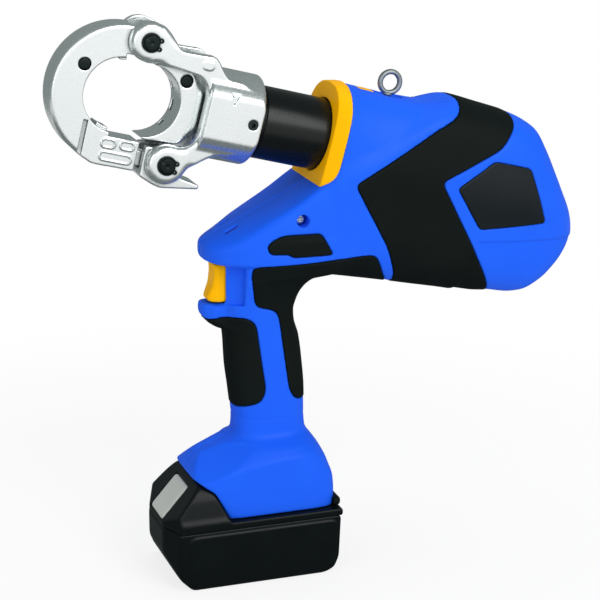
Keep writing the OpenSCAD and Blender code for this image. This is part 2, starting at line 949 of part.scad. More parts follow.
// Valve that opens at full pressure
module relief_valve() {
    color([0.72, 0.55, 0.25])
        on_barrel()
            post([relief_at, 0], relief_low, relief_top, relief_r);
}

// Rubber oil reservoir under the pump
module oil_reservoir() {
    color([0.2, 0.2, 0.2])
        on_barrel() {
            box([tank_front, -tank_half_w, tank_low], [tank_rear, tank_half_w, tank_top]);
            post([tank_neck_at, 0], tank_top, -pump_r - seat_gap, tank_neck_r);
        }
}

// Fixed gearbox casing with the ring gear inside
module gearbox_ring() {
    color([0.45, 0.46, 0.48])
        on_barrel()
            difference() {
                bar(gear_front, gear_rear, gear_r);
                bar(gear_wall_rear, gear_rear + over, gear_bore_r);
                bar(gear_front - over, gear_rear, gear_shaft_bore_r);
            }
}

// Steel can of the motor with its two end walls
module motor_can() {
    color([0.5, 0.52, 0.55])
        on_barrel()
            difference() {
                bar(motor_front, motor_rear, motor_r);
                bar(motor_front + motor_bearing_l, motor_rear - motor_bearing_l, motor_r - motor_wall);
                bar(motor_front - over, motor_rear + over, motor_bearing_r);
            }
}

// Two ball bearings in the motor's end walls
module motor_bearings() {
    color([0.8, 0.8, 0.82])
        on_barrel()
            for (from = [motor_front, motor_rear - motor_bearing_l])
                difference() {
                    bar(from, from + motor_bearing_l, motor_bearing_r);
                    bar(from - over, from + motor_bearing_l + over, rotor_shaft_r + run_gap);
                }
}

// Rotor with its shaft and the sun pinion
module motor_rotor() {
    color([0.65, 0.4, 0.25])
        on_barrel() {
            bar(sun_front, rotor_rear, rotor_shaft_r);
            bar(sun_front, sun_rear, sun_r);
            bar(armature_front, armature_rear, armature_r);
        }
}

// Output shaft of the gearbox: planet carrier in front of the motor and the crank disc in the pump
module eccentric_shaft() {
    color([0.6, 0.6, 0.62])
        on_barrel() {
            bar(crank_disc_front, carrier_rear, crank_shaft_r);
            translate([0, 0, -crank_throw])
                bar(crank_disc_front, crank_disc_rear, crank_disc_r);
            bar(carrier_front, carrier_rear, carrier_r);
            for (i = [0 : planet_count - 1])
                rotate([360 * i / planet_count, 0, 0])
                    translate([0, planet_orbit_r, 0])
                        bar(carrier_front, planet_rear, planet_pin_r);
        }
}

// Ring bearing on the crank disc, which pushes the plunger
module eccentric_bearing() {
    color([0.8, 0.8, 0.82])
        on_barrel()
            translate([0, 0, -crank_throw])
                difference() {
                    bar(crank_disc_front, crank_disc_rear, crank_race_r);
                    bar(crank_disc_front - over, crank_disc_rear + over, crank_disc_r);
                }
}

// Planet gears on the carrier's pins, drawn plain at their pitch size
module planet_gears() {
    color([0.55, 0.56, 0.58])
        on_barrel()
            for (i = [0 : planet_count - 1])
                rotate([360 * i / planet_count, 0, 0])
                    translate([0, planet_orbit_r, 0])
                        difference() {
                            bar(planet_front, planet_rear, planet_r);
                            bar(planet_front - over, planet_rear + over, planet_bore_r);
                        }
}

// Control board under the motor
module control_board() {
    color([0.1, 0.4, 0.2])
        on_barrel() {
            box([board_front, -board_half_w, board_v], [board_rear, board_half_w, board_v + board_t]);
            for (i = [0 : chip_count - 1])
                translate([chip_front + i * chip_pitch, -chip_size[1] / 2, board_v + board_t])
                    cube(chip_size);
        }
}

// Switch behind the trigger
module trigger_switch() {
    color([0.15, 0.15, 0.16])
        difference() {
            translate([switch_at[0], -switch_size[1] / 2, switch_at[1]])
                cube(switch_size);
            translate([0, 0, stem_z])
                bar(switch_at[0] - over, stem_pocket, stem_r + slide_gap);
        }
}

// Terminal block over the battery with its two blades
module terminal_block() {
    color([0.2, 0.2, 0.22]) {
        translate([block_at[0], -block_size[1] / 2, block_at[1]])
            cube(block_size);
        for (side = [-1, 1])
            box([block_at[0] + blade_root, side * blade_y - blade_t / 2, blade_low],
                [block_at[0] + blade_root + blade_l, side * blade_y + blade_t / 2,
                    block_at[1] + blade_root]);
    }
}

// Fork of the head: a collar on the cylinder and two pairs of cheeks
module head_fork() {
    color([0.86, 0.88, 0.88])
        on_barrel()
            difference() {
                union() {
                    intersection() {
                        union() {
                            bar(fork_front, fork_rear - fork_chamfer, fork_r);
                            taper(fork_rear - fork_chamfer, fork_rear, fork_r, fork_r - fork_chamfer);
                        }
                        box([fork_front, -fork_flat, -fork_r], [fork_rear, fork_flat, fork_r]);
                    }
                    for (side = [0, 1])
                        mirror([0, side, 0])
                            slab(cheek_in, cheek_out) cheek_outlines();
                }
                bar(fork_front - over, fork_rear, rod_r + slide_gap);
                bar(wiper_front, wiper_front + wiper_l, wiper_r);
                bar(fork_bore_front, fork_rear + over, spigot_r);
                for (at = [hinge_at, latch_at])
                    cross_bar(at, -far, far, pin_r);
                cross_bar([grub_at, 0], -far, 0, grub_r);
            }
}

// Side view of the cheeks: bosses round the pins and the arms behind them
module cheek_outlines() {
    translate(hinge_at) circle(boss_r);
    translate(latch_at) circle(boss_r);
    polygon(upper_arm);
    polygon(lower_arm);
}

// Black cylinder: threaded into the fork in front, turning in the pump block behind
module cylinder_barrel() {
    color([0.08, 0.09, 0.09])
        on_barrel()
            difference() {
                union() {
                    bar(fork_bore_front, fork_rear, spigot_r);
                    bar(fork_rear, cylinder_rear, cylinder_r);
                    bar(cylinder_rear, tail_rear, tail_r);
                }
                bar(fork_bore_front - over, bore_rear, bore_r);
                bar(bore_rear - over, tail_rear + over, port_r);
                difference() {
                    bar(tail_seal_at, tail_seal_at + tail_seal_l, tail_r + over);
                    bar(tail_seal_at - over, tail_seal_at + tail_seal_l + over, tail_groove_r);
                }
            }
}

// One cross pin with a groove for a circlip at each end
module cross_pin(at) {
    difference() {
        cross_bar(at, -pin_end, pin_end, pin_r);
        for (side = [-1, 1])
            clip_space(at, side, pin_r + over, pin_r - clip_groove);
    }
}

// Ring where a circlip sits on a pin
module clip_space(at, side, r_out, r_in) {
    from = side < 0 ? -cheek_out - clip_gap - clip_t : cheek_out + clip_gap;
    difference() {
        cross_bar(at, from, from + clip_t, r_out);
        cross_bar(at, from - over, from + clip_t + over, r_in);
    }
}

// Pin that the yoke swings on
module hinge_pin() {
    color([0.12, 0.14, 0.14]) on_barrel() cross_pin(hinge_at);
}

// Pin that the latch rocks on
module latch_pin() {
    color([0.12, 0.14, 0.14]) on_barrel() cross_pin(latch_at);
}

// Four circlips, each an open ring with two ears
module pin_circlips() {
    color([0.12, 0.14, 0.14])
        on_barrel()
            for (at = [hinge_at, latch_at], side = [-1, 1]) {
                from = side < 0 ? -cheek_out - clip_gap - clip_t : cheek_out + clip_gap;
                translate([at[0], 0, at[1]])
                    slab(from, from + clip_t) circlip();
            }
}

// Outline of one circlip with its gap toward the rear
module circlip() {
    difference() {
        union() {
            circle(clip_r);
            for (side = [-1, 1])
                translate([clip_r, side * (clip_slot / 2 + ear_r)]) circle(ear_r);
        }
        circle(pin_r - clip_groove);
        translate([0, -clip_slot / 2]) square([clip_r + ear_r + over, clip_slot]);
        for (side = [-1, 1])
            translate([clip_r, side * (clip_slot / 2 + ear_r)]) circle(ear_hole_r);
    }
}

// Spring wound round the latch pin, inside the latch
module latch_spring() {
    color([0.5, 0.5, 0.52])
        on_barrel()
            cross_coil(latch_at, -tongue_half_w, tongue_half_w, latch_coil_r, latch_wire, latch_turns);
}

// Grub screw that locks the fork on the cylinder
module grub_screw() {
    color([0.2, 0.22, 0.22])
        on_barrel()
            difference() {
                cross_bar([grub_at, 0], -fork_flat, -spigot_r, grub_r);
                translate([grub_at, -fork_flat + grub_socket_depth, 0])
                    rotate([90, 0, 0])
                        cylinder(h = grub_socket_depth + over, r = grub_socket_r, $fn = 6);
            }
}

// Gland that guides the rod at the front of the cylinder
module rod_gland() {
    color([0.72, 0.55, 0.25])
        on_barrel()
            difference() {
                bar(fork_bore_front, gland_rear, bore_r);
                bar(fork_bore_front - over, gland_rear + over, rod_r + run_gap);
            }
}

// Wiper ring in the fork that keeps dirt off the rod
module gland_wiper() {
    color([0.15, 0.15, 0.15])
        on_barrel()
            difference() {
                bar(wiper_front, wiper_front + wiper_l, wiper_r);
                bar(wiper_front - over, wiper_front + wiper_l + over, rod_r + run_gap);
            }
}

// Seal ring of the turning joint between cylinder and pump
module swivel_seal() {
    color([0.15, 0.15, 0.15])
        on_barrel()
            difference() {
                bar(tail_seal_at, tail_seal_at + tail_seal_l, tail_r);
                bar(tail_seal_at - over, tail_seal_at + tail_seal_l + over, tail_groove_r);
            }
}

// Spring that pushes the piston back
module return_spring() {
    color([0.5, 0.5, 0.52])
        on_barrel()
            barrel_coil(gland_rear + return_slack, piston_front - return_slack, (rod_r + bore_r) / 2,
                return_wire, return_turns);
}

// Side view of the C-yoke
module yoke_outline() {
    difference() {
        union() {
            intersection() {
                circle(yoke_r);
                polygon([[-far, -far], [0, -far], [0, 0], [hinge_at[0], 0], [hinge_at[0], far],
                    [-far, far]]);
            }
            translate(hinge_at) circle(lug_r);
            polygon([[block_front, block_front_top], [block_end, block_front_top], [block_end, block_low],
                [block_low_front, block_low], [block_front, block_front_low]]);
        }
        circle(seat_r);
        translate([-seat_lip, -way_half]) square([far, 2 * way_half]);
    }
}

// Hinged C-yoke with its closing tongue
module c_yoke() {
    color([0.86, 0.88, 0.88])
        on_barrel()
            difference() {
                union() {
                    slab(-jaw_t / 2, jaw_t / 2) yoke_outline();
                    box([block_end - over, -tongue_half_w, tongue_low],
                        [tongue_end, tongue_half_w, tongue_top]);
                }
                cross_bar(hinge_at, -far, far, pin_bore_r);
                die_button_pocket(yoke_button_at);
                for (side = [-1, 1])
                    translate([groove_at, side * jaw_t / 2, 0])
                        box([0, -groove_depth, -far], [groove_w, groove_depth, groove_top]);
            }
}

// Blind hole for a die release button and its spring
module die_button_pocket(at) {
    cross_bar(at, -far, -jaw_t / 2 + button_pocket, die_button_r + run_gap);
}

// Die release button, standing a little proud of the near face
module die_button(at) {
    color([0.15, 0.18, 0.18])
        on_barrel()
            cross_bar(at, -jaw_t / 2 - button_proud, -jaw_t / 2 - button_proud + button_l, die_button_r);
}

// Spring under a die release button
module die_button_spring(at) {
    color([0.5, 0.5, 0.52])
        on_barrel()
            cross_coil(at, -jaw_t / 2 - button_proud + button_l + slide_gap,
                -jaw_t / 2 + button_pocket - slide_gap,
                die_button_r / 2, coil_wire, button_turns);
}
module yoke_die_button() { die_button(yoke_button_at); }
module yoke_button_spring() { die_button_spring(yoke_button_at); }
module ram_die_button() { die_button(ram_button_at); }
module ram_button_spring() { die_button_spring(ram_button_at); }

// Latch lever between the lower cheeks, with a slot for tongue and spring
module latch_lever() {
    color([0.86, 0.88, 0.88])
        on_barrel()
            difference() {
                union() {
                    slab(-jaw_t / 2, jaw_t / 2) polygon(latch_outline);
                    cross_bar(latch_at, -jaw_t / 2, jaw_t / 2, latch_hub_r);
                }
                slab(-latch_slot_half, latch_slot_half) polygon(latch_slot);
                cross_bar(latch_at, -far, far, pin_bore_r);
            }
}

// Sliding jaw with the rear die seat
module ram_jaw() {
    color([0.86, 0.88, 0.88])
        on_barrel()
            difference() {
                slab(-jaw_t / 2, jaw_t / 2)
                    difference() {
                        polygon([[ram_front, ram_half], [ram_shoulder, ram_half],
                            [ram_corner, ram_corner_half], [ram_rear, ram_rear_half],
                            [ram_rear, -ram_rear_half], [ram_corner, -ram_corner_half],
                            [ram_shoulder, -ram_half], [ram_front, -ram_half]]);
                        translate([jaw_gap, 0]) circle(seat_r);
                    }
                bar(rod_front, ram_rear + over, rod_neck_r);
                die_button_pocket(ram_button_at);
            }
}

// Rod between jaw and piston
module piston_rod() {
    color([0.8, 0.82, 0.84])
        on_barrel() {
            bar(rod_front, ram_rear, rod_neck_r);
            bar(ram_rear, piston_front, rod_r);
            bar(piston_front, piston_rear, piston_neck_r);
        }
}

// Piston in the cylinder's bore
module piston() {
    color([0.7, 0.72, 0.74])
        on_barrel()
            difference() {
                bar(piston_front, piston_rear, bore_r - run_gap);
                bar(piston_front - over, piston_rear + over, piston_neck_r);
                difference() {
                    bar(seal_front, seal_front + seal_l, bore_r + over);
                    bar(seal_front - over, seal_front + seal_l + over, bore_r - seal_depth);
                }
            }
}

// Seal ring in the piston's groove
module piston_seal() {
    color([0.15, 0.15, 0.15])
        on_barrel()
            difference() {
                bar(seal_front, seal_front + seal_l, bore_r - run_gap);
                bar(seal_front - over, seal_front + seal_l + over, bore_r - seal_depth);
            }
}

// Yellow trigger with the stem that works the switch
module trigger() {
    color([1, 0.73, 0]) {
        intersection() {
            slab(-trigger_half_w, trigger_half_w) polygon(trigger_outline);
            linear_extrude(far)
                front_taper(trigger_taper_front, trigger_taper_rear, trigger_face_half_w, trigger_half_w);
        }
        translate([0, 0, stem_z])
            bar(trigger_back - over, stem_end, stem_r);
    }
}

// Spring round the trigger's stem
module trigger_spring() {
    color([0.5, 0.5, 0.52])
        translate([0, 0, stem_z])
            barrel_coil(trigger_back + slide_gap, switch_at[0] - slide_gap, trigger_coil_r, trigger_wire,
                trigger_turns);
}

// Button on top that lets the ram run back
module return_button() {
    color([0.95, 0.8, 0.1])
        on_barrel() {
            box([return_at - return_size[0] / 2, -return_size[1] / 2, return_foot],
                [return_at + return_size[0] / 2, return_size[1] / 2, return_top]);
            box([return_at, -return_foot_half_w, return_foot],
                [return_foot_rear, return_foot_half_w, return_foot + return_foot_t]);
        }
}

// Suspension eye on a shank that turns in the top of the shells
module suspension_eye() {
    color([0.6, 0.62, 0.63])
        on_barrel() {
            difference() {
                union() {
                    translate([eye_at, 0, eye_up])
                        rotate([90, 0, 0])
                            rotate_extrude()
                                translate([eye_ring_r, 0])
                                    circle(eye_tube_r);
                    post([eye_at, 0], eye_shank_end, eye_up - eye_ring_r, eye_shank_r);
                }
                cross_bar([eye_at, eye_up], -eye_r, eye_r, eye_bore_r);
            }
            post([eye_at, 0], eye_nut_low, eye_nut_top, eye_nut_r);
        }
}

// Plan of the battery with its cut front corners
module battery_plan(rear) {
    front = battery_front;
    w = battery_half_w;
    polygon([[front, -w + plan_corner[1]], [front + plan_corner[0], -w], [rear, -w], [rear, w],
        [front + plan_corner[0], w], [front, w - plan_corner[1]]]);
}

// Lower tub of the battery
module battery_case() {
    color([0.07, 0.08, 0.08])
        difference() {
            intersection() {
                slab(-battery_half_w, battery_half_w) polygon(case_profile);
                linear_extrude(battery_seam) battery_plan(case_rear);
            }
            box([cell_x0 - cell_r - slide_gap, -cell_l / 2 - slide_gap, battery_wall],
                [cell_x0 + cell_pitch * (cell_count - 1) + cell_r + slide_gap, cell_l / 2 + slide_gap,
                    battery_seam + over]);
            battery_screw_holes();
        }
}

// Holes of the battery's screws with their sunk heads
module battery_screw_holes() {
    for (at = battery_screw_at, side = [-1, 1]) {
        post([at[0], side * at[1]], -over, battery_screw_low + battery_screw_head_h,
            battery_screw_head_r + seat_gap);
        post([at[0], side * at[1]], 0, battery_screw_low + battery_screw_l + seat_gap,
            battery_screw_r + seat_gap);
    }
}

// Battery cover: lid, rails with blade slots, and the hump that carries the button
module battery_cover() {
    color([0.07, 0.08, 0.08])
        difference() {
            union() {
                intersection() {
                    slab(-battery_half_w, battery_half_w) polygon(cover_profile);
                    linear_extrude(far) battery_plan(cover_rear);
                    rotate([90, 0, 90])
                        linear_extrude(2 * far, center = true)
                            polygon(hump_front_view);
                }
                box([rail_front, -rail_stem_half_w, battery_seam], [rail_rear, rail_stem_half_w, rail_top]);
                box([rail_front, -rail_half_w, rail_neck_top], [rail_rear, rail_half_w, rail_top]);
            }
            for (side = [-1, 1])
                box([block_at[0] - over, side * blade_y - blade_slot_w / 2, blade_slot_low],
                    [far, side * blade_y + blade_slot_w / 2, far]);
            on_slope()
                box([battery_button_from - slide_gap, -battery_button_half_w - slide_gap,
                        -battery_button_pocket],
                    [battery_button_from + battery_button_l + slide_gap, battery_button_half_w + slide_gap,
                        far]);
            battery_screw_holes();
        }
}

// Places a child on the hump's slope: x up the slope, z out of it
module on_slope() {
    translate([slope_foot[0], 0, slope_foot[1]])
        rotate([0, -slope_angle, 0])
            children();
}

// Grey button on the hump that frees the battery
module battery_button() {
    color([0.66, 0.68, 0.65])
        on_slope()
            box([battery_button_from, -battery_button_half_w, battery_button_proud - battery_button_h],
                [battery_button_from + battery_button_l, battery_button_half_w, battery_button_proud]);
}

// Spring under the battery's button
module battery_button_spring() {
    color([0.5, 0.5, 0.52])
        on_slope()
            translate([battery_button_from + battery_button_l / 2, 0, -battery_button_pocket + slide_gap])
                coil(battery_coil_r, coil_wire, button_turns,
                    battery_button_pocket - battery_button_h + battery_button_proud - 2 * slide_gap);
}

// Round cells lying across the battery
module battery_cells() {
    color([0.2, 0.5, 0.35])
        for (i = [0 : cell_count - 1], j = [0 : cell_rows - 1])
            cross_bar([cell_x0 + i * cell_pitch, cell_low + cell_r + j * cell_pitch],
                -cell_l / 2, cell_l / 2, cell_r);
}

// Spring contacts beside the blade slots
module battery_contacts() {
    color([0.8, 0.6, 0.3])
        for (side = [-1, 1])
            box([contact_front, side * contact_y - contact_size[1] / 2, contact_low],
                [contact_front + contact_size[0], side * contact_y + contact_size[1] / 2,
                    contact_low + contact_size[2]]);
}

// Four screws that hold the battery's halves together
module battery_screws() {
    color([0.6, 0.62, 0.65])
        for (at = battery_screw_at, side = [-1, 1]) {
            post([at[0], side * at[1]], battery_screw_low, battery_screw_low + battery_screw_head_h,
                battery_screw_head_r);
            post([at[0], side * at[1]], battery_screw_low, battery_screw_low + battery_screw_l,
                battery_screw_r);
        }
}

housing_left();
housing_right();
front_collar();
side_grip_left();
side_grip_right();
small_grip_left();
small_grip_right();
handle_front_grip();
handle_rear_grip();
side_plate();
housing_screws();
work_light_lenses();
pump_block();
pump_plunger();
cylinder_bearing();
release_valve();
relief_valve();
oil_reservoir();
gearbox_ring();
motor_can();
motor_bearings();
control_board();
trigger_switch();
terminal_block();
motor_rotor();
eccentric_shaft();
eccentric_bearing();
planet_gears();
head_fork();
cylinder_barrel();
hinge_pin();
latch_pin();
pin_circlips();
latch_spring();
grub_screw();
rod_gland();
gland_wiper();
swivel_seal();
return_spring();
c_yoke();
yoke_die_button();
yoke_button_spring();
latch_lever();
ram_jaw();
piston_rod();
piston();
piston_seal();
ram_die_button();
ram_button_spring();
trigger();
trigger_spring();
return_button();
suspension_eye();
battery_case();
battery_cover();
battery_cells();
battery_contacts();
battery_button();
battery_button_spring();
battery_screws();
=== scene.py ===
import json

import bpy
import numpy as np
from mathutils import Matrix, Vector


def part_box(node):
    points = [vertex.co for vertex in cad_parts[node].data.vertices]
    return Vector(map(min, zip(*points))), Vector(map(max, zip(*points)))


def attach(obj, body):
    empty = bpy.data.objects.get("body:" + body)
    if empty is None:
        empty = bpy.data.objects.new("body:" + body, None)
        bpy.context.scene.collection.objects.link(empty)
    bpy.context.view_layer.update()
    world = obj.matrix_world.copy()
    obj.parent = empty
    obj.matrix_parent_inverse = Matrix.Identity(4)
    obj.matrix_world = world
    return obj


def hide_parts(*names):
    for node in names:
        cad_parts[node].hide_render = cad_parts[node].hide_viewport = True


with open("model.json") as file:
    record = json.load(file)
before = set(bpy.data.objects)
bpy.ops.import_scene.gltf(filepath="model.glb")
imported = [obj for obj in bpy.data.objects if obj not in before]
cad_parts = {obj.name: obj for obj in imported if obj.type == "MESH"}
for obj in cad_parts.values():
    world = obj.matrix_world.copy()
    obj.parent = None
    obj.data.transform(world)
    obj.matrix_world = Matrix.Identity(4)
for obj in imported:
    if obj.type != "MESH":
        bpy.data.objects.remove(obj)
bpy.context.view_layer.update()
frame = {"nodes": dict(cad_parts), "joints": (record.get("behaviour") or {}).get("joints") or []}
print("frame loaded:", len(frame["nodes"]), "nodes")

metre = 0.001  # one millimetre in scene units: all shapes below are worked out in millimetres
joints = {j["name"]: j for j in frame["joints"]}

# The barrel has its own side view: u runs back along the swivel axis from the jaw centre, v up, y across
swivelBehindJaw = 120.0
along = np.array(joints["head_swivel"]["axis"])
upward = np.array([-along[2], 0.0, along[0]])
across = np.array([0.0, 1.0, 0.0])
jawCentre = np.array(joints["head_swivel"]["pos_m"]) / metre - swivelBehindJaw * along


def sideView(p):
    # along the barrel, across and up: the offset from the jaw centre, projected on the axis and on its upright
    q = p - jawCentre
    return q @ along, p[..., 1], q @ upward


def fromBarrel(u, y, v):
    # back to the tool's frame: jaw centre + u along + y across + v upward
    u, y, v = np.broadcast_arrays(u, y, v)
    return jawCentre + u[..., None] * along + y[..., None] * across + v[..., None] * upward


def jointPlace(name):
    # a joint's place on the side view: how far along and how far up
    u, y, v = sideView(np.array(joints[name]["pos_m"]) / metre)
    return np.array([u, v])


hingeAt = jointPlace("yoke_hinge")
latchAt = jointPlace("latch_pivot")


# Camera: the photograph's distance, turn and tilt, with a long lens
cameraView = {"lens": 120.0, "sensor": 36.0, "far": 20.0, "place": (-0.3887, -1.2549, 0.5831), "tilt": 73.5,
              "turn": -19.0}
camera = bpy.data.objects.new("camera", bpy.data.cameras.new("camera"))
camera.data.lens = cameraView["lens"]
camera.data.sensor_width = cameraView["sensor"]
camera.data.clip_end = cameraView["far"]
camera.location = cameraView["place"]
camera.rotation_euler = (np.radians(cameraView["tilt"]), 0.0, np.radians(cameraView["turn"]))
bpy.context.scene.collection.objects.link(camera)
bpy.context.scene.camera = camera
bpy.context.scene.view_settings.view_transform = "Standard"


# Materials

def colour(code):
    # sRGB hex to linear: each channel is c / 12.92 near black and ((c + 0.055) / 1.055) ^ 2.4 above
    c = np.array([int(code[i:i + 2], 16) for i in (1, 3, 5)]) / 255.0
    linear = np.where(c <= 0.04045, c / 12.92, ((c + 0.055) / 1.055) ** 2.4)
    return (*linear, 1.0)


def addNode(tree, kind, inputs=None, links=None, **settings):
    # one node with its settings, its fixed inputs and the sources of its other inputs
    node = tree.nodes.new(kind)
    for key, value in settings.items():
        setattr(node, key, value)
    for key, value in (inputs or {}).items():
        node.inputs[key].default_value = value
    for key, source in (links or {}).items():
        tree.links.new(source, node.inputs[key])
    return node


def patternScale(sizeMm):
    # noise cells per metre: one over the pattern's size in metres
    return 1.0 / (sizeMm * metre)


finishRule = {
    "cloudDetail": 4.0, "grainDetail": 3.0, "roughFrom": 0.12, "roughTo": 0.4,
    "wearFrom": 0.53, "wearTo": 0.62, "wearShare": 0.45,  # pointiness where rubbing starts and is full
    "paintedShadeReach": 5.0, "paintedShadeFull": 0.35, "paintedShadeNone": 0.85, "paintedShadeShare": 0.7,  # painted shade in hollows: millimetres, and openness of the hollow
}


def finish(name, base, tint, rough, grainMm, grainDepthMm, cloudMm=25.0, metallic=0.0, wear=None, paintedShade=None,
           **fixed):
    # colour: base to tint by broad clouds, then to wear on sharp edges and to painted shade in hollows; roughness:
    # from its lowest to its highest with clouds times grain; bump: the grain's height
    rule = finishRule
    material = bpy.data.materials.new(name)
    material.use_nodes = True
    tree = material.node_tree
    shader = tree.nodes["Principled BSDF"]
    shader.inputs["Metallic"].default_value = metallic
    for key, value in fixed.items():
        shader.inputs[key.replace("_", " ")].default_value = value
    place = addNode(tree, "ShaderNodeTexCoord").outputs["Object"]
    clouds = addNode(tree, "ShaderNodeTexNoise", {"Scale": patternScale(cloudMm), "Detail": rule["cloudDetail"]},
                     {"Vector": place})
    grain = addNode(tree, "ShaderNodeTexNoise", {"Scale": patternScale(grainMm), "Detail": rule["grainDetail"]},
                    {"Vector": place})
    paint = addNode(tree, "ShaderNodeMix", {6: colour(base), 7: colour(tint)}, {0: clouds.outputs["Fac"]},
                    data_type="RGBA").outputs[2]
    if wear:
        edge = addNode(tree, "ShaderNodeNewGeometry").outputs["Pointiness"]
        rubbed = addNode(tree, "ShaderNodeMapRange", {"From Min": rule["wearFrom"], "From Max": rule["wearTo"],
                                                     "To Max": rule["wearShare"]}, {0: edge})
        paint = addNode(tree, "ShaderNodeMix", {7: colour(wear)}, {0: rubbed.outputs[0], 6: paint},
                        data_type="RGBA").outputs[2]
    # painted shade: where ambient occlusion finds a hollow, the colour is pulled toward a dark grey standing for the
    # shade that falls there
    if paintedShade:
        hollow = addNode(tree, "ShaderNodeAmbientOcclusion", {"Distance": rule["paintedShadeReach"] * metre}, samples=8)
        deep = addNode(tree, "ShaderNodeMapRange", {"From Min": rule["paintedShadeFull"], "From Max": rule["paintedShadeNone"],
                                                   "To Min": rule["paintedShadeShare"], "To Max": 0.0},
                       {0: hollow.outputs["AO"]})
        paint = addNode(tree, "ShaderNodeMix", {7: colour(paintedShade)}, {0: deep.outputs[0], 6: paint},
                        data_type="RGBA").outputs[2]
    tree.links.new(paint, shader.inputs["Base Color"])
    mixed = addNode(tree, "ShaderNodeMath", links={0: clouds.outputs["Fac"], 1: grain.outputs["Fac"]},
                    operation="MULTIPLY")
    spread = addNode(tree, "ShaderNodeMapRange", {"From Min": rule["roughFrom"], "From Max": rule["roughTo"],
                                                 "To Min": rough[0], "To Max": rough[1]}, {0: mixed.outputs[0]})
    tree.links.new(spread.outputs[0], shader.inputs["Roughness"])
    bump = addNode(tree, "ShaderNodeBump", {"Strength": 1.0, "Distance": grainDepthMm * metre},
                   {"Height": grain.outputs["Fac"]})
    tree.links.new(bump.outputs["Normal"], shader.inputs["Normal"])
    return material


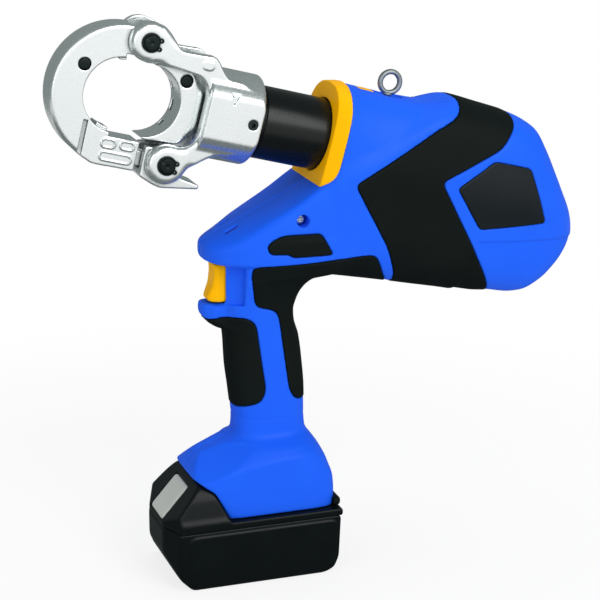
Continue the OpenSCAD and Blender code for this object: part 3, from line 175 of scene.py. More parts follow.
# Each finish: what it is and how its surface was made, its two colours, roughness, grain size and grain depth in mm
materials = {
    # glass-filled polyamide, moulded with a fine spark texture: satin, strong saturated blue
    "blueHousing": finish("polyamide_blue_moulded", "#1A62F6", "#165CF0", (0.38, 0.5), 0.9, 0.018, wear="#2E72FF",
                          IOR=1.52, Specular_IOR_Level=0.11),
    # ABS, moulded and polished a little: warm yellow with a soft gloss
    "yellowPlastic": finish("abs_yellow_moulded", "#FFBC00", "#FAB400", (0.32, 0.42), 1.0, 0.012, wear="#FFCB2E",
                            IOR=1.53, Specular_IOR_Level=0.06),
    # thermoplastic rubber, moulded on: nearly black, matt with a dull sheen
    "softGrip": finish("rubber_black_overmoulded", "#0B1110", "#101716", (0.55, 0.7), 0.8, 0.03,
                       IOR=1.5, Specular_IOR_Level=0.08),
    # polycarbonate film, screen-printed dark: smooth satin
    "darkPlate": finish("polycarbonate_dark_printed", "#10161A", "#141B20", (0.34, 0.42), 0.7, 0.004, IOR=1.58,
                        Specular_IOR_Level=0.14),
    # forged steel, nickel plated: bright, with a faint forged unevenness and painted shade in the hollows
    "nickelHead": finish("steel_forged_nickel_plated", "#EDF1F1", "#E4E9E9", (0.24, 0.36), 2.4, 0.008, metallic=0.93,
                         wear="#F6F9F9", paintedShade="#38494A"),
    # steel tube, black burnished: dark metal with one soft long highlight
    "blackCylinder": finish("steel_black_burnished", "#0A0E0E", "#0E1212", (0.24, 0.32), 0.8, 0.006, IOR=1.5,
                            Specular_IOR_Level=0.24),
    # steel pins, black oxide over a turned face
    "blackPin": finish("steel_black_oxide_turned", "#1F2625", "#272F2E", (0.36, 0.48), 0.7, 0.01, metallic=1.0,
                       wear="#4A5250", Specular_Tint=colour("#101312")),
    # battery shell: ABS blend, moulded black, semi-gloss
    "batteryBlack": finish("abs_black_moulded", "#090E0F", "#0D1314", (0.26, 0.36), 0.9, 0.012, wear="#232A2A",
                           IOR=1.54, Specular_IOR_Level=0.12),
    # ABS, moulded light grey with a fine texture
    "buttonGrey": finish("abs_grey_moulded", "#C0C5C0", "#B8BDB8", (0.4, 0.5), 0.9, 0.016, wear="#BFC3BE", IOR=1.53,
                         Specular_IOR_Level=0.2),
    # round steel bar, zinc plated: dull grey with cloudy spangle
    "eyeSteel": finish("steel_zinc_plated", "#9BA1A2", "#8B9293", (0.46, 0.58), 1.2, 0.02, cloudMm=4.0, metallic=1.0,
                       wear="#C2C7C7"),
    # screws: steel, cold headed and bright zinc plated
    "screwSteel": finish("steel_bright_zinc_screws", "#C9CECF", "#B9BFC0", (0.26, 0.36), 0.6, 0.006, metallic=1.0),
    # inner steel: hardened and ground
    "brightSteel": finish("steel_ground_bright", "#C4C9CA", "#B6BCBD", (0.22, 0.32), 0.6, 0.006, metallic=1.0),
    # spring wire: drawn and oiled
    "springSteel": finish("steel_spring_drawn", "#8E9495", "#7F8586", (0.3, 0.42), 0.5, 0.006, metallic=1.0),
    # pump block: aluminium, milled
    "machinedAluminium": finish("aluminium_machined", "#C2C6C8", "#B4B9BB", (0.3, 0.42), 0.7, 0.01, metallic=1.0),
    # bearings and contacts: bronze, turned
    "bronze": finish("bronze_turned", "#B58A45", "#A67D3C", (0.28, 0.4), 0.7, 0.008, metallic=1.0),
    # seals: nitrile rubber, pressed
    "blackRubber": finish("rubber_black_ring", "#171918", "#1D2020", (0.5, 0.65), 0.6, 0.01, IOR=1.5),
    # motor can: sheet steel, drawn and nickel plated
    "motorSteel": finish("steel_motor_can_plated", "#8F9596", "#83898A", (0.32, 0.44), 0.9, 0.01, metallic=1.0),
    # rotor: enamelled copper wire, wound
    "winding": finish("copper_enamelled_winding", "#B4652F", "#9C5426", (0.3, 0.42), 0.8, 0.05, metallic=0.8),
    # board: glass epoxy under green solder resist
    "circuitBoard": finish("epoxy_glass_board_green", "#14512F", "#104527", (0.36, 0.48), 0.8, 0.008, IOR=1.55),
    # switch and terminals: black polyamide, moulded
    "innerPlastic": finish("polyamide_black_inner", "#22282A", "#1C2224", (0.46, 0.58), 0.8, 0.01, IOR=1.52),
    # cells: steel cans in shrunk film
    "cellWrap": finish("pvc_teal_cell_wrap", "#2E7F78", "#2A746E", (0.32, 0.42), 0.8, 0.006, IOR=1.54),
    # work light windows: polycarbonate, moulded; their dark blue is painted, standing for the shade in the slots and
    # the blue nose showing through
    "lensPaintedShade": finish("polycarbonate_lens_painted_shade", "#1B3BD0", "#1734BE", (0.12, 0.2), 0.6, 0.003, IOR=1.58,
                        Transmission_Weight=0.15, Specular_IOR_Level=0.2),
}
print("materials:", len(materials))

# Finish of every CAD node that stays as it is
nodeFinish = {
    "screwSteel": ["housing_screws", "battery_screws"],
    "machinedAluminium": ["pump_block", "oil_reservoir"],
    "brightSteel": ["pump_plunger", "release_valve", "relief_valve", "eccentric_shaft", "planet_gears",
    "gearbox_ring",
                    "motor_bearings", "eccentric_bearing", "piston_rod", "piston"],
    "bronze": ["cylinder_bearing", "rod_gland", "battery_contacts"],
    "motorSteel": ["motor_can"],
    "winding": ["motor_rotor"],
    "circuitBoard": ["control_board"],
    "innerPlastic": ["trigger_switch", "terminal_block"],
    "blackRubber": ["gland_wiper", "swivel_seal", "piston_seal"],
    "springSteel": ["latch_spring", "return_spring", "yoke_button_spring", "ram_button_spring", "trigger_spring",
                    "battery_button_spring"],
    "blackPin": ["grub_screw"],
    "cellWrap": ["battery_cells"],
}
for key, names in nodeFinish.items():
    for name in names:
        mesh = frame["nodes"][name].data
        mesh.materials.clear()
        mesh.materials.append(materials[key])


# Pieces

def makePiece(name, verts, faces, look, body, replaced=()):
    # a smooth shaded mesh from points in millimetres, riding a body and standing for the CAD nodes that it replaces
    mesh = bpy.data.meshes.new(name)
    mesh.from_pydata(np.asarray(verts) * metre, [], faces if isinstance(faces, list) else faces.tolist())
    mesh.polygons.foreach_set("use_smooth", np.full(len(mesh.polygons), True))
    mesh.materials.append(materials[look])
    mesh.update()
    piece = bpy.data.objects.new(name, mesh)
    bpy.context.scene.collection.objects.link(piece)
    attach(piece, body)
    if replaced:
        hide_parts(*replaced)
    print("piece", name, len(faces), "faces")


def joinSoft(a, b, r):
    # the nearer of two fields, with a fillet of about r where they meet
    h = np.maximum(r - np.abs(a - b), 0.0) / r
    return np.minimum(a, b) - h * h * r / 4.0


def cutSoft(a, b, r):
    # the part inside both fields, with its edge rounded by about r
    return -joinSoft(-a, -b, r)


def smoothTable(table, t):
    # every column runs through its rows on a cubic whose slope is the harmonic mean of the chords beside it
    rows = np.asarray(table, float)
    x, y = rows[:, 0], rows[:, 1:]
    step = np.diff(x)[:, None]
    chord = np.diff(y, axis=0) / step
    slope = np.zeros_like(y)
    turn = chord[:-1] * chord[1:]
    slope[1:-1] = np.where(turn > 0, 2 * turn / np.where(turn > 0, chord[:-1] + chord[1:], 1.0), 0.0)
    slope[0], slope[-1] = chord[0], chord[-1]
    i = np.clip(np.searchsorted(x, t) - 1, 0, len(x) - 2)
    h = step[i]
    s = np.clip((t - x[i])[:, None] / h, 0.0, 1.0)
    return (y[i] * (1 + 2 * s) * (1 - s) ** 2 + y[i + 1] * s * s * (3 - 2 * s)
            + h * slope[i] * s * (1 - s) ** 2 + h * slope[i + 1] * s * s * (s - 1)).T


def sectionField(a, b, low, high, half, power):
    # superellipse section: distance from the centre times (1 - 1 / rho), rho being the superellipse radius
    middle, reach = (low + high) / 2.0, np.maximum((high - low) / 2.0, 0.2)
    half = np.maximum(half, 0.2)
    q = np.abs(b - middle)
    rho = ((np.abs(a) / half) ** power + (q / reach) ** power) ** (1.0 / power)
    return np.hypot(a, q) * (1.0 - 1.0 / np.maximum(rho, 1e-6))


def smoothStep(t, low, high):
    # 0 below low and 1 above high, between them s s (3 - 2 s), s being the share of the way
    s = np.clip((t - low) / (high - low), 0.0, 1.0)
    return s * s * (3 - 2 * s)


def roundOutline(points, radius, steps=5):
    # each corner becomes a parabola between the points where its two sides leave it
    p = np.asarray(points, float)

    def leave(q):
        # the point on the way from each corner to q, a radius off but at most 0.45 of the way
        d = q - p
        return p + d * np.minimum(radius / np.linalg.norm(d, axis=1), 0.45)[:, None]

    a, b = leave(np.roll(p, 1, 0)), leave(np.roll(p, -1, 0))
    t = np.linspace(0.0, 1.0, steps)[None, :, None]
    return ((1 - t) ** 2 * a[:, None] + 2 * t * (1 - t) * p[:, None] + t * t * b[:, None]).reshape(-1, 2)


def outlineField(outline, a, b, reach=6.0):
    # distance to the nearest side of a flat outline, negative inside; past the reach it is the reach
    low, high = outline.min(0) - reach, outline.max(0) + reach
    near = (a > low[0]) & (a < high[0]) & (b > low[1]) & (b < high[1])
    x, z = a[near], b[near]
    best = np.full(x.shape, reach * reach * 40.0)
    inside = np.zeros(x.shape, bool)
    for (ax, az), (bx, bz) in zip(outline, np.roll(outline, -1, 0)):
        ex, ez = bx - ax, bz - az
        t = np.clip(((x - ax) * ex + (z - az) * ez) / max(ex * ex + ez * ez, 1e-12), 0.0, 1.0)
        best = np.minimum(best, (x - ax - t * ex) ** 2 + (z - az - t * ez) ** 2)
        if ez:
            inside ^= ((az > z) != (bz > z)) & (x < ex * (z - az) / ez + ax)
    field = np.full(a.shape, reach)
    field[near] = np.where(inside, -1.0, 1.0) * np.sqrt(best)
    return field


def within(*fields):
    # inside all of them: the largest of the fields
    return np.maximum.reduce(fields)


def either(*fields):
    # inside any of them: the least of the fields
    return np.minimum.reduce(fields)


def radiusFrom(at, a, b):
    # distance from a point of the plane
    return np.hypot(a - at[0], b - at[1])


def capsuleField(a, b, length, height):
    # a bar with round ends: distance to its middle line, less its half height
    return np.hypot(np.maximum(np.abs(a) - length + height, 0.0), b) - height


meshRule = {"block": 4, "rounds": 2, "nearBlocks": 2.2, "farValue": 99.0, "probe": 0.04, "share": 0.5, "flat": 0.05}


def levelMesh(field, low, high, step):
    # surface where a field of points is zero: one vertex in each grid cell that it crosses, one quad round each
    # grid edge that it crosses; the vertices are then spread evenly and set on the surface along its gradient
    block = meshRule["block"]
    low = np.asarray(low, float)
    blocks = np.ceil((np.asarray(high, float) - low) / (step * block)).astype(int)
    coarseAxes = [low[i] + step * block * np.arange(blocks[i] + 1) for i in range(3)]
    coarse = field(np.stack(np.meshgrid(*coarseAxes, indexing="ij"), -1).reshape(-1, 3)).reshape(blocks + 1)
    near = np.abs(coarse) < meshRule["nearBlocks"] * step * block
    corners = [(slice(i, i + blocks[0]), slice(j, j + blocks[1]), slice(k, k + blocks[2]))
               for i in (0, 1) for j in (0, 1) for k in (0, 1)]
    live = np.logical_or.reduce([near[c] for c in corners])

    def refine(cells, edge):
        # every coarse cell repeated to its fine cells, with one more layer of points at the far ends if asked
        fine = cells.repeat(block, 0).repeat(block, 1).repeat(block, 2)
        return np.pad(fine, ((0, 1), (0, 1), (0, 1)), mode="edge") if edge else fine

    values = refine(np.where(coarse[corners[0]] < 0, -1.0, 1.0) * meshRule["farValue"], True).astype(np.float32)
    mask = np.zeros(values.shape, bool)
    fineLive = refine(live, False)
    for i in (0, 1):
        for j in (0, 1):
            for k in (0, 1):
                mask[i:i + fineLive.shape[0], j:j + fineLive.shape[1], k:k + fineLive.shape[2]] |= fineLive
    spots = np.argwhere(mask)
    values[mask] = field(low + step * spots)
    inside = values < 0
    cellOf, crossing, quads = [], [], []
    shape = np.array(values.shape)
    stride = np.array([shape[1] * shape[2], shape[2], 1])
    for axis in range(3):
        e = np.eye(3, dtype=int)[axis]
        b, c = np.eye(3, dtype=int)[(axis + 1) % 3], np.eye(3, dtype=int)[(axis + 2) % 3]
        first = inside[tuple(slice(0, shape[i] - e[i]) for i in range(3))]
        second = inside[tuple(slice(e[i], shape[i]) for i in range(3))]
        at = np.argwhere(first != second)
        va, vb = values[tuple(at.T)], values[tuple((at + e).T)]
        spot = at + (va / (va - vb))[:, None] * e
        ring = np.stack([(at - i * b - j * c) @ stride for i, j in ((0, 0), (1, 0), (1, 1), (0, 1))], 1)
        cellOf.append(ring.ravel())
        crossing.append(np.repeat(spot, 4, 0))
        quads.append(np.where((va < 0)[:, None], ring, ring[:, ::-1]))
    cellOf, crossing, quads = np.concatenate(cellOf), np.concatenate(crossing), np.concatenate(quads)
    ids, index = np.unique(cellOf, return_inverse=True)
    count = np.bincount(index)
    verts = np.stack([np.bincount(index, crossing[:, i]) / count for i in range(3)], 1) * step + low
    quads = np.searchsorted(ids, quads)
    ends = np.concatenate([quads[:, [0, 1]], quads[:, [1, 2]], quads[:, [2, 3]], quads[:, [3, 0]]])
    degree = np.bincount(ends[:, 0], minlength=len(verts))
    small, share = meshRule["probe"], meshRule["share"]

    def settle(p, spread):
        # a step of -f g / g^2 onto the surface, and half the pull to the neighbours' mean without its part along g
        f = field(p)
        g = np.stack([(field(p + small * e) - f) / small for e in np.eye(3)], 1)
        size = np.maximum((g * g).sum(1), meshRule["flat"])[:, None]
        move = -f[:, None] * g / size
        if spread:
            total = np.stack([np.bincount(ends[:, 0], p[ends[:, 1], i], len(p)) for i in range(3)], 1)
            mean = total / degree[:, None]
            pull = mean - p
            move += share * (pull - (pull * g).sum(1)[:, None] * g / size)
        length = np.linalg.norm(move, axis=1)[:, None]
        return p + move * np.minimum(1.0, share * step / np.maximum(length, 1e-9))

    for spread in [True] * meshRule["rounds"] + [False, False]:
        verts = settle(verts, spread)
    return verts, quads


def levelPiece(name, field, node, margin, step, look, body):
    # the zero surface of a field, meshed at a step inside a CAD node's box widened by a margin, in that node's place
    low, high = np.array(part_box(node)) / metre
    verts, quads = levelMesh(field, low - margin, high + margin, step)
    makePiece(name, verts, quads, look, body, [node])


def lathe(profile, centre, axis, turns=72):
    # profile points (along the axis, radius) turned about the axis: centre + s axis + r (cos t side + sin t other)
    profile = np.asarray(profile, float)
    axis = np.asarray(axis, float)
    side = np.cross(axis, across) if abs(axis[1]) < 0.9 else along
    other = np.cross(axis, side)
    t = np.linspace(0.0, 2 * np.pi, turns, endpoint=False)
    ring = np.cos(t)[:, None] * side + np.sin(t)[:, None] * other
    grid = centre + profile[:, None, :1] * axis + profile[:, None, 1:] * ring[None]
    ids = np.arange(len(profile) * turns).reshape(-1, turns)
    ids = np.concatenate([ids, ids[:, :1]], 1)
    quads = np.stack([ids[:-1, :-1], ids[:-1, 1:], ids[1:, 1:], ids[1:, :-1]], -1).reshape(-1, 4)
    return weld(grid.reshape(-1, 3), quads)


def weld(verts, faces):
    # points nearer than a thousandth of a millimetre become one, and a face drops the corners that this repeats
    spots = np.round(verts * 1000.0).astype(int)
    first, index = np.unique(spots, axis=0, return_index=True, return_inverse=True)[1:]
    loops = [list(dict.fromkeys(face)) for face in index.ravel()[faces].tolist()]
    return verts[first], [loop for loop in loops if len(loop) > 2]


def latheProfile(points, bevel, steps=4):
    # open profile with every inner corner rounded by the bevel
    p = np.asarray(points, float)
    a = p[1:-1] + (p[:-2] - p[1:-1]) * np.minimum(bevel / np.linalg.norm(p[:-2] - p[1:-1], axis=1), 0.45)[:, None]
    b = p[1:-1] + (p[2:] - p[1:-1]) * np.minimum(bevel / np.linalg.norm(p[2:] - p[1:-1], axis=1), 0.45)[:, None]
    t = np.linspace(0.0, 1.0, steps)[None, :, None]
    curve = (1 - t) ** 2 * a[:, None] + 2 * t * (1 - t) * p[1:-1][:, None] + t * t * b[:, None]
    return np.concatenate([p[:1], curve.reshape(-1, 2), p[-1:]])


# Housing form: barrel, nose, handle with battery shoe, and finger hook, blended into one moulding
barrelShape = {
    # along the barrel, bottom, top, half width, squareness
    "sections": [
        [150, -44, 37, 35, 2.8], [160, -76, 36.8, 35.6, 2.8], [166, -87, 36.7, 36, 2.8],
        [172, -92.2, 36.6, 36.2, 2.8], [185, -91.3, 36.5, 36.6, 2.9], [204, -89.9, 36.9, 36.9, 3],
        [221, -89, 38.6, 37.1, 3], [232, -88.5, 39.8, 37.2, 3], [255, -87.3, 38.5, 37.2, 3],
        [278, -86.7, 36.8, 36.8, 2.9], [294, -84.8, 32.4, 35.8, 2.8], [306, -84.2, 22.4, 34.2, 2.7],
        [318, -81.4, 9.8, 31.8, 2.6], [328.5, -73.2, -3.2, 28.6, 2.5], [336.6, -61.4, -13.2, 24.3, 2.4],
        [341.8, -51, -21.4, 18.5, 2.3], [345, -44, -27.8, 11, 2.2], [346.6, -39.6, -33, 4, 2]],
    "front": 152.0, "frontEdge": 0.8, "end": 347.5,
    # the moulding swells behind a line that runs along the upper front edge of the side grip
    "swellLine": ((170, -20), (212, 21)), "swellFrom": -13.0, "swellTo": -4.0, "swellTop": 5.0, "swellSide": 2.5,
    "swellSideFade": (-45.0, -5.0), "swellTopFade": (5.0, 36.0),
    # step across the tail, with the lower panel set in
    "tailStep": ((261, -47.6), (340, -32.5)), "tailStepDepth": 1.3, "tailStepEase": 0.4,
    "tailStepFrom": (262.0, 266.0),
}
noseShape = {
    # height, front, rear, half width, squareness
    "sections": [
        [223.4, -15, 92, 32.4, 2.6], [224.6, -22, 94, 33.2, 2.6], [227, -27.3, 95.5, 33.9, 2.6],
        [231, -28.1, 97, 34.6, 2.5], [236, -28, 98, 35.1, 2.5], [241, -26.6, 100, 35.3, 2.5],
        [247, -21.8, 100, 35.3, 2.5], [254, -11.8, 100, 35.2, 2.5], [268, 10.5, 100, 35, 2.5],
        [277, 25, 100, 34.8, 2.5], [285, 37.2, 100, 34.6, 2.5], [296, 55, 100, 34, 2.4]],
    # upper face: along, height of its middle line, bend across, which fades out toward the collar
    "upper": [[-40, 232.6, 0.022], [-26.2, 239.8, 0.022], [3, 253.9, 0.009], [30, 266.7, 0.003], [47.5, 276.5, 0],
              [75, 292, 0]],
    "bottom": 223.4, "bottomEdge": 2.0, "top": 296.0, "upperLean": 0.88, "upperSoft": 4.0,
}
gripShape = {
    # height, front, rear, squareness
    "sections": [
        [47, -26, 59.3, 7], [58, -32, 60.3, 7], [67, -39, 60, 6.5], [71, -42, 59.4, 5.8], [75, -42.3, 58.2, 5],
        [80, -40, 56.8, 4.2], [86, -36, 54, 3.7], [89.5, -32.6, 52.2, 3.4], [92, -26.5, 50.6, 3.1],
        [95, -18.4, 48.5, 3], [98.5, -9.4, 46, 2.8], [102, -6.9, 44.7, 2.7], [110, -6.4, 44.2, 2.6],
        [130, -8.2, 43.9, 2.6], [150, -10.6, 42.3, 2.6], [168, -11.5, 39.9, 2.6], [180, -12.7, 36.4, 2.7],
        [188, -13.6, 35.6, 3], [196, -14, 37.4, 3.2], [201, -14, 39.4, 3.3], [203.5, -14, 41.1, 3.3],
        [206.9, -14, 44.3, 3.2], [210.4, -14, 49.7, 3.1], [212.2, -14, 56, 3], [213.2, -14, 64, 3],
        [214.5, -14, 76, 2.9], [216.5, -14, 88, 2.9], [223.5, -14, 95, 2.8], [240, -14, 98, 2.4]],
    # height, half width; the lower rows are lifted toward the middle of the shoe by its arched crease
    "widths": [
        [47, 33.4], [77, 33.7], [78.4, 33.2], [82, 30.6], [86, 27], [90, 23.6], [94, 21], [98, 19.5], [102, 18.8],
        [110, 18.5], [150, 18.5], [168, 18.7], [180, 19.2], [188, 20], [196, 21.5], [203, 23.5], [208, 25.5],
        [212, 27.5], [215, 30], [223.5, 33], [240, 35]],
    # fine line round the neck: height, fall along it, where the fall starts
    "neckLine": (113.2, 0.045, -12.5), "neckDepth": 0.35, "neckWidth": 0.7,
    "bottom": 47.6, "bottomEdge": 1.0, "top": 240.0,
    "creaseMiddle": 34.0, "creaseLift": 9.0, "creaseReach": 60.0, "creaseFadeFrom": 92.0, "creaseFadeTo": 104.0,
    # flat facet on each front shoulder of the shoe: outward direction, distance, height where it ends
    "facet": (-0.357, 0.491, 0.794), "facetAt": 86.6, "facetTop": 96.0,
    "shoeFront": [[-80, 79], [-41, 75.8], [-28.3, 67.4], [-17.6, 46], [-80, 46]],
}
hookShape = {
    "outline": [[-6, 195.2], [-20.5, 194.8], [-25.5, 197.3], [-28.2, 196.5], [-29.6, 192.5], [-28.8, 187.4],
                [-24.3, 182.4], [-17.5, 178.6], [-6, 176]],
    "tip": -30.0, "root": -21.0, "tipHalfWidth": 5.5, "rootHalfWidth": 11.0, "edge": 4.0,
}
# how softly the forms run into each other, and how fast the facet ends above its top
housingBlend = {"nose": 7.0, "handle": 3.0, "hook": 5.0, "facet": 0.6, "facetEnd": 3.0, "shoeFront": 1.2,
                "reach": 12.0}
hookOutline = roundOutline(hookShape["outline"], 2.5)
shoeFrontOutline = roundOutline(gripShape["shoeFront"], 3.0)


def barrelField(u, y, v):
    # superellipse sections from the table along the barrel, raised behind the swell line and lowered below the tail
    # step, each by its depth times a smooth step, and cut off at the front
    d = barrelShape
    low, high, half, power = smoothTable(d["sections"], u)
    (ua, va), (ub, vb) = d["swellLine"]
    behind = ((u - ua) * (vb - va) - (v - va) * (ub - ua)) / np.hypot(ub - ua, vb - va)
    swell = smoothStep(behind, d["swellFrom"], d["swellTo"])
    swell = swell * (d["swellSide"] * smoothStep(v, *d["swellSideFade"])
                     + (d["swellTop"] - d["swellSide"]) * smoothStep(v, *d["swellTopFade"]))
    tail = sectionField(y, v, low, high, half, power)
    (ua, va), (ub, vb) = d["tailStep"]
    below = va + (u - ua) * (vb - va) / (ub - ua) - v
    step = smoothStep(below, -d["tailStepEase"], d["tailStepEase"])
    tail = tail + d["tailStepDepth"] * step * smoothStep(u, *d["tailStepFrom"])
    body = cutSoft(tail - swell, d["front"] - u, d["frontEdge"])
    return np.maximum(body, u - d["end"])


def noseField(x, y, z):
    # level superellipse slices from the table, cut by an upper face whose height falls with y^2 times its bend / 2
    d = noseShape
    front, rear, half, power = smoothTable(d["sections"], z)
    slices = sectionField(y, x, front, rear, half, power)
    height, bend = smoothTable(d["upper"], x)
    upper = (z - height) * d["upperLean"] + bend * y * y / 2.0
    nose = cutSoft(slices, upper, d["upperSoft"])
    return np.maximum(cutSoft(nose, d["bottom"] - z, d["bottomEdge"]), z - d["top"])


def gripField(x, y, z):
    # level superellipse slices; the crease lowers the height at which the width is read by a parabola along the shoe,
    # and the neck line is a groove whose depth falls off as exp(-(distance / width)^2)
    d = gripShape
    front, rear, power = smoothTable(d["sections"], z)
    toMiddle = np.clip((x - d["creaseMiddle"]) / d["creaseReach"], -1.0, 1.0)
    lift = d["creaseLift"] * (1 - toMiddle ** 2) * (1 - smoothStep(z, d["creaseFadeFrom"], d["creaseFadeTo"]))
    half = smoothTable(d["widths"], z - lift)[0]
    grip = sectionField(y, x, front, rear, half, power)
    level, fall, start = d["neckLine"]
    grip = grip + d["neckDepth"] * np.exp(-((z - level + fall * (x - start)) / d["neckWidth"]) ** 2)
    return np.maximum(cutSoft(grip, d["bottom"] - z, d["bottomEdge"]), z - d["top"])


def hookField(x, y, z):
    # the side outline within a half width that grows evenly from tip to root
    d = hookShape
    half = np.interp(x, [d["tip"], d["root"]], [d["tipHalfWidth"], d["rootHalfWidth"]])
    return cutSoft(outlineField(hookOutline, x, z, housingBlend["reach"]), np.abs(y) - half, d["edge"])


def housingForm(p):
    # barrel, nose, handle and hook joined softly, then cut by the shoulder facets and by the battery's front outline
    d = housingBlend
    u, y, v = sideView(p)
    x, z = p[:, 0], p[:, 2]
    form = joinSoft(barrelField(u, y, v), noseField(x, y, z), d["nose"])
    form = joinSoft(form, gripField(x, y, z), d["handle"])
    form = joinSoft(form, hookField(x, y, z), d["hook"])
    ahead, aside, above = gripShape["facet"]
    facet = ahead * x + aside * np.abs(y) + above * z - gripShape["facetAt"]
    form = cutSoft(form, facet - d["facetEnd"] * np.maximum(z - gripShape["facetTop"], 0.0), d["facet"])
    return cutSoft(form, -outlineField(shoeFrontOutline, x, z, d["reach"]), d["shoeFront"])


# Outlines of grips and plate: on the barrel's side view, or on the tool's
grips = {
    "chevron": {"view": "barrel", "round": 5.0, "outline": [
        [165, -24.5], [170, -19.5], [214, 22], [226, 31], [231, 38], [233, 60], [272, 60], [274, 37], [264, 19],
        [225, -11], [291, -83], [297, -103], [223, -103], [215, -83], [200, -62]]},
    "plate": {"view": "barrel", "round": 3.0, "outline": [
        [238, -13], [261, 10], [289.5, 10], [312, -25], [263, -38]]},
    "small": {"view": "tool", "round": 2.5, "outline": [
        [9, 239], [13, 243], [21, 246], [46.5, 245.5], [55.5, 230], [27, 230.5], [24, 233], [11.5, 233.5]]},
    "front": {"view": "tool", "round": 5.0, "outline": [
        [-40, 184.5], [-24, 184.8], [-17, 186.2], [-1.5, 186.5], [5.4, 181.5], [12.4, 133], [9, 124.5],
        [-11, 119.5], [-40, 116.5]]},
    "rear": {"view": "tool", "round": 5.0, "outline": [
        [1.2, 224.6], [0.6, 216], [4.6, 194.5], [19, 190.5], [22.4, 184], [30, 131], [35, 123.5], [70, 121],
        [110, 190], [95, 210], [87, 226.5], [40, 225]]},
}
# how far skins stand proud of the form and reach below it, the gap round them and behind them, and their edge rounding
gripFit = {"proud": 0.5, "sunk": 2.2, "edge": 1.1, "gap": 0.35, "behind": 0.05}
plateFit = {"proud": 0.1, "sunk": 1.8, "edge": 0.4, "gap": 0.35, "behind": 0.05}
for grip in grips.values():
    grip["curve"] = roundOutline(grip["outline"], grip["round"])


def gripOutline(name, p):
    # distance to a skin's outline on the view that it is drawn on
    grip = grips[name]
    if grip["view"] == "barrel":
        u, y, v = sideView(p)
        return outlineField(grip["curve"], u, v)
    return outlineField(grip["curve"], p[:, 0], p[:, 2])


shellDetail = {
    # wall, and how much thicker it is at the tail (from, to along the barrel) and where the shoe flares
    "wall": 4.4, "tailWall": (7.0, 312.0, 330.0), "flareWall": (5.0, 74.0, 84.0, 98.0, 108.0),
    "skinDepth": 5.0, "skinEdge": 0.7, "cutEdge": 0.6, "seamEdge": 0.5, "seamGap": 0.03,
    "tunnelRadius": 25.4, "tunnelRear": 176.0, "collarRear": 152.0,
    "shoeFloor": 60.0, "shoeHalf": 29.0, "shoeFront": -30.0, "shoeRear": 52.5,
    "pocketRear": (-2.9, 16.4), "pocketFront": (-14.0, 10.4), "pocketLow": 195.4, "pocketTop": 223.2,
    "slotHalf": 9.5, "slotRear": 1.65, "stemAt": (210.0, 6.5, 20.0),
    "screwHole": 4.3, "screwSeat": 13.6, "nearScrews": [(34, 255)], "farScrews": [(18, 150), (40, 76), (-22, 84)],
    "farBarrelScrews": [(212, 33.5), (292, 28.4), (330, -34), (243, -74)],
    "lensAt": (-9.0, 9.5, 247.5), "lensHalf": (5.0, 1.7), "lensTilt": 28.0, "lensDepth": 2.6, "lensReach": 12.0,
    "lensGap": 0.1, "lensSunk": 0.9, "lensBack": 0.2,
    "buttonAt": 169.0, "buttonHalf": (5.9, 6.4), "buttonFloor": 28.0, "eyeAt": 186.0, "eyePocket": 11.0,
    "eyeFloor": 34.6,
}


def lensOutline(p):
    # a long hole on the tilted upper face: distance to its middle line less its half width
    d = shellDetail
    tilt = np.radians(d["lensTilt"])
    run = (p[:, 0] - d["lensAt"][0]) * np.cos(tilt) + (p[:, 2] - d["lensAt"][2]) * np.sin(tilt)
    rise = (p[:, 2] - d["lensAt"][2]) * np.cos(tilt) - (p[:, 0] - d["lensAt"][0]) * np.sin(tilt)
    hole = capsuleField(run, np.abs(p[:, 1]) - d["lensAt"][1], *d["lensHalf"])
    return np.maximum(hole, np.abs(rise) - d["lensReach"])


def shellCuts(p, side, form):
    # everything let into one half of the housing: the least of the fields of its bores, pockets, slots and recesses
    d = shellDetail
    u, y, v = sideView(p)
    x, z = p[:, 0], p[:, 2]
    cuts = np.maximum(np.hypot(y, v) - d["tunnelRadius"], u - d["tunnelRear"])
    dock = within(np.abs(y) - d["shoeHalf"], z - d["shoeFloor"], d["shoeFront"] - x, x - d["shoeRear"])
    (xr, yr), (xf, yf) = d["pocketRear"], d["pocketFront"]
    length = np.hypot(xr - xf, yr - yf)
    cheek = ((np.abs(y) - yr) * (xr - xf) - (x - xr) * (yr - yf)) / length
    middle, half = (d["pocketLow"] + d["pocketTop"]) / 2, (d["pocketTop"] - d["pocketLow"]) / 2
    pocket = within(-cheek, np.abs(z - middle) - half, x - xr)
    slot = within(np.abs(y) - d["slotHalf"], x - d["slotRear"], np.abs(z - middle) - half)
    stem = np.maximum(np.hypot(y, z - d["stemAt"][0]) - d["stemAt"][1], x - d["stemAt"][2])
    cuts = either(cuts, dock, pocket, slot, stem)
    holes = [radiusFrom(at, x, z) for at in (d["nearScrews"] if side < 0 else d["farScrews"])]
    holes += [radiusFrom(at, u, v) for at in (d["farBarrelScrews"] if side > 0 else [])]
    for hole in holes:
        cuts = np.minimum(cuts, np.maximum(hole - d["screwHole"], d["screwSeat"] - side * y))
    lensSlot = np.maximum(lensOutline(p), -form - d["lensDepth"])
    button = within(np.abs(u - d["buttonAt"]) - d["buttonHalf"][0], np.abs(y) - d["buttonHalf"][1],
                    d["buttonFloor"] - v)
    eye = np.maximum(np.hypot(u - d["eyeAt"], y) - d["eyePocket"], d["eyeFloor"] - v)
    return either(cuts, lensSlot, button, eye)


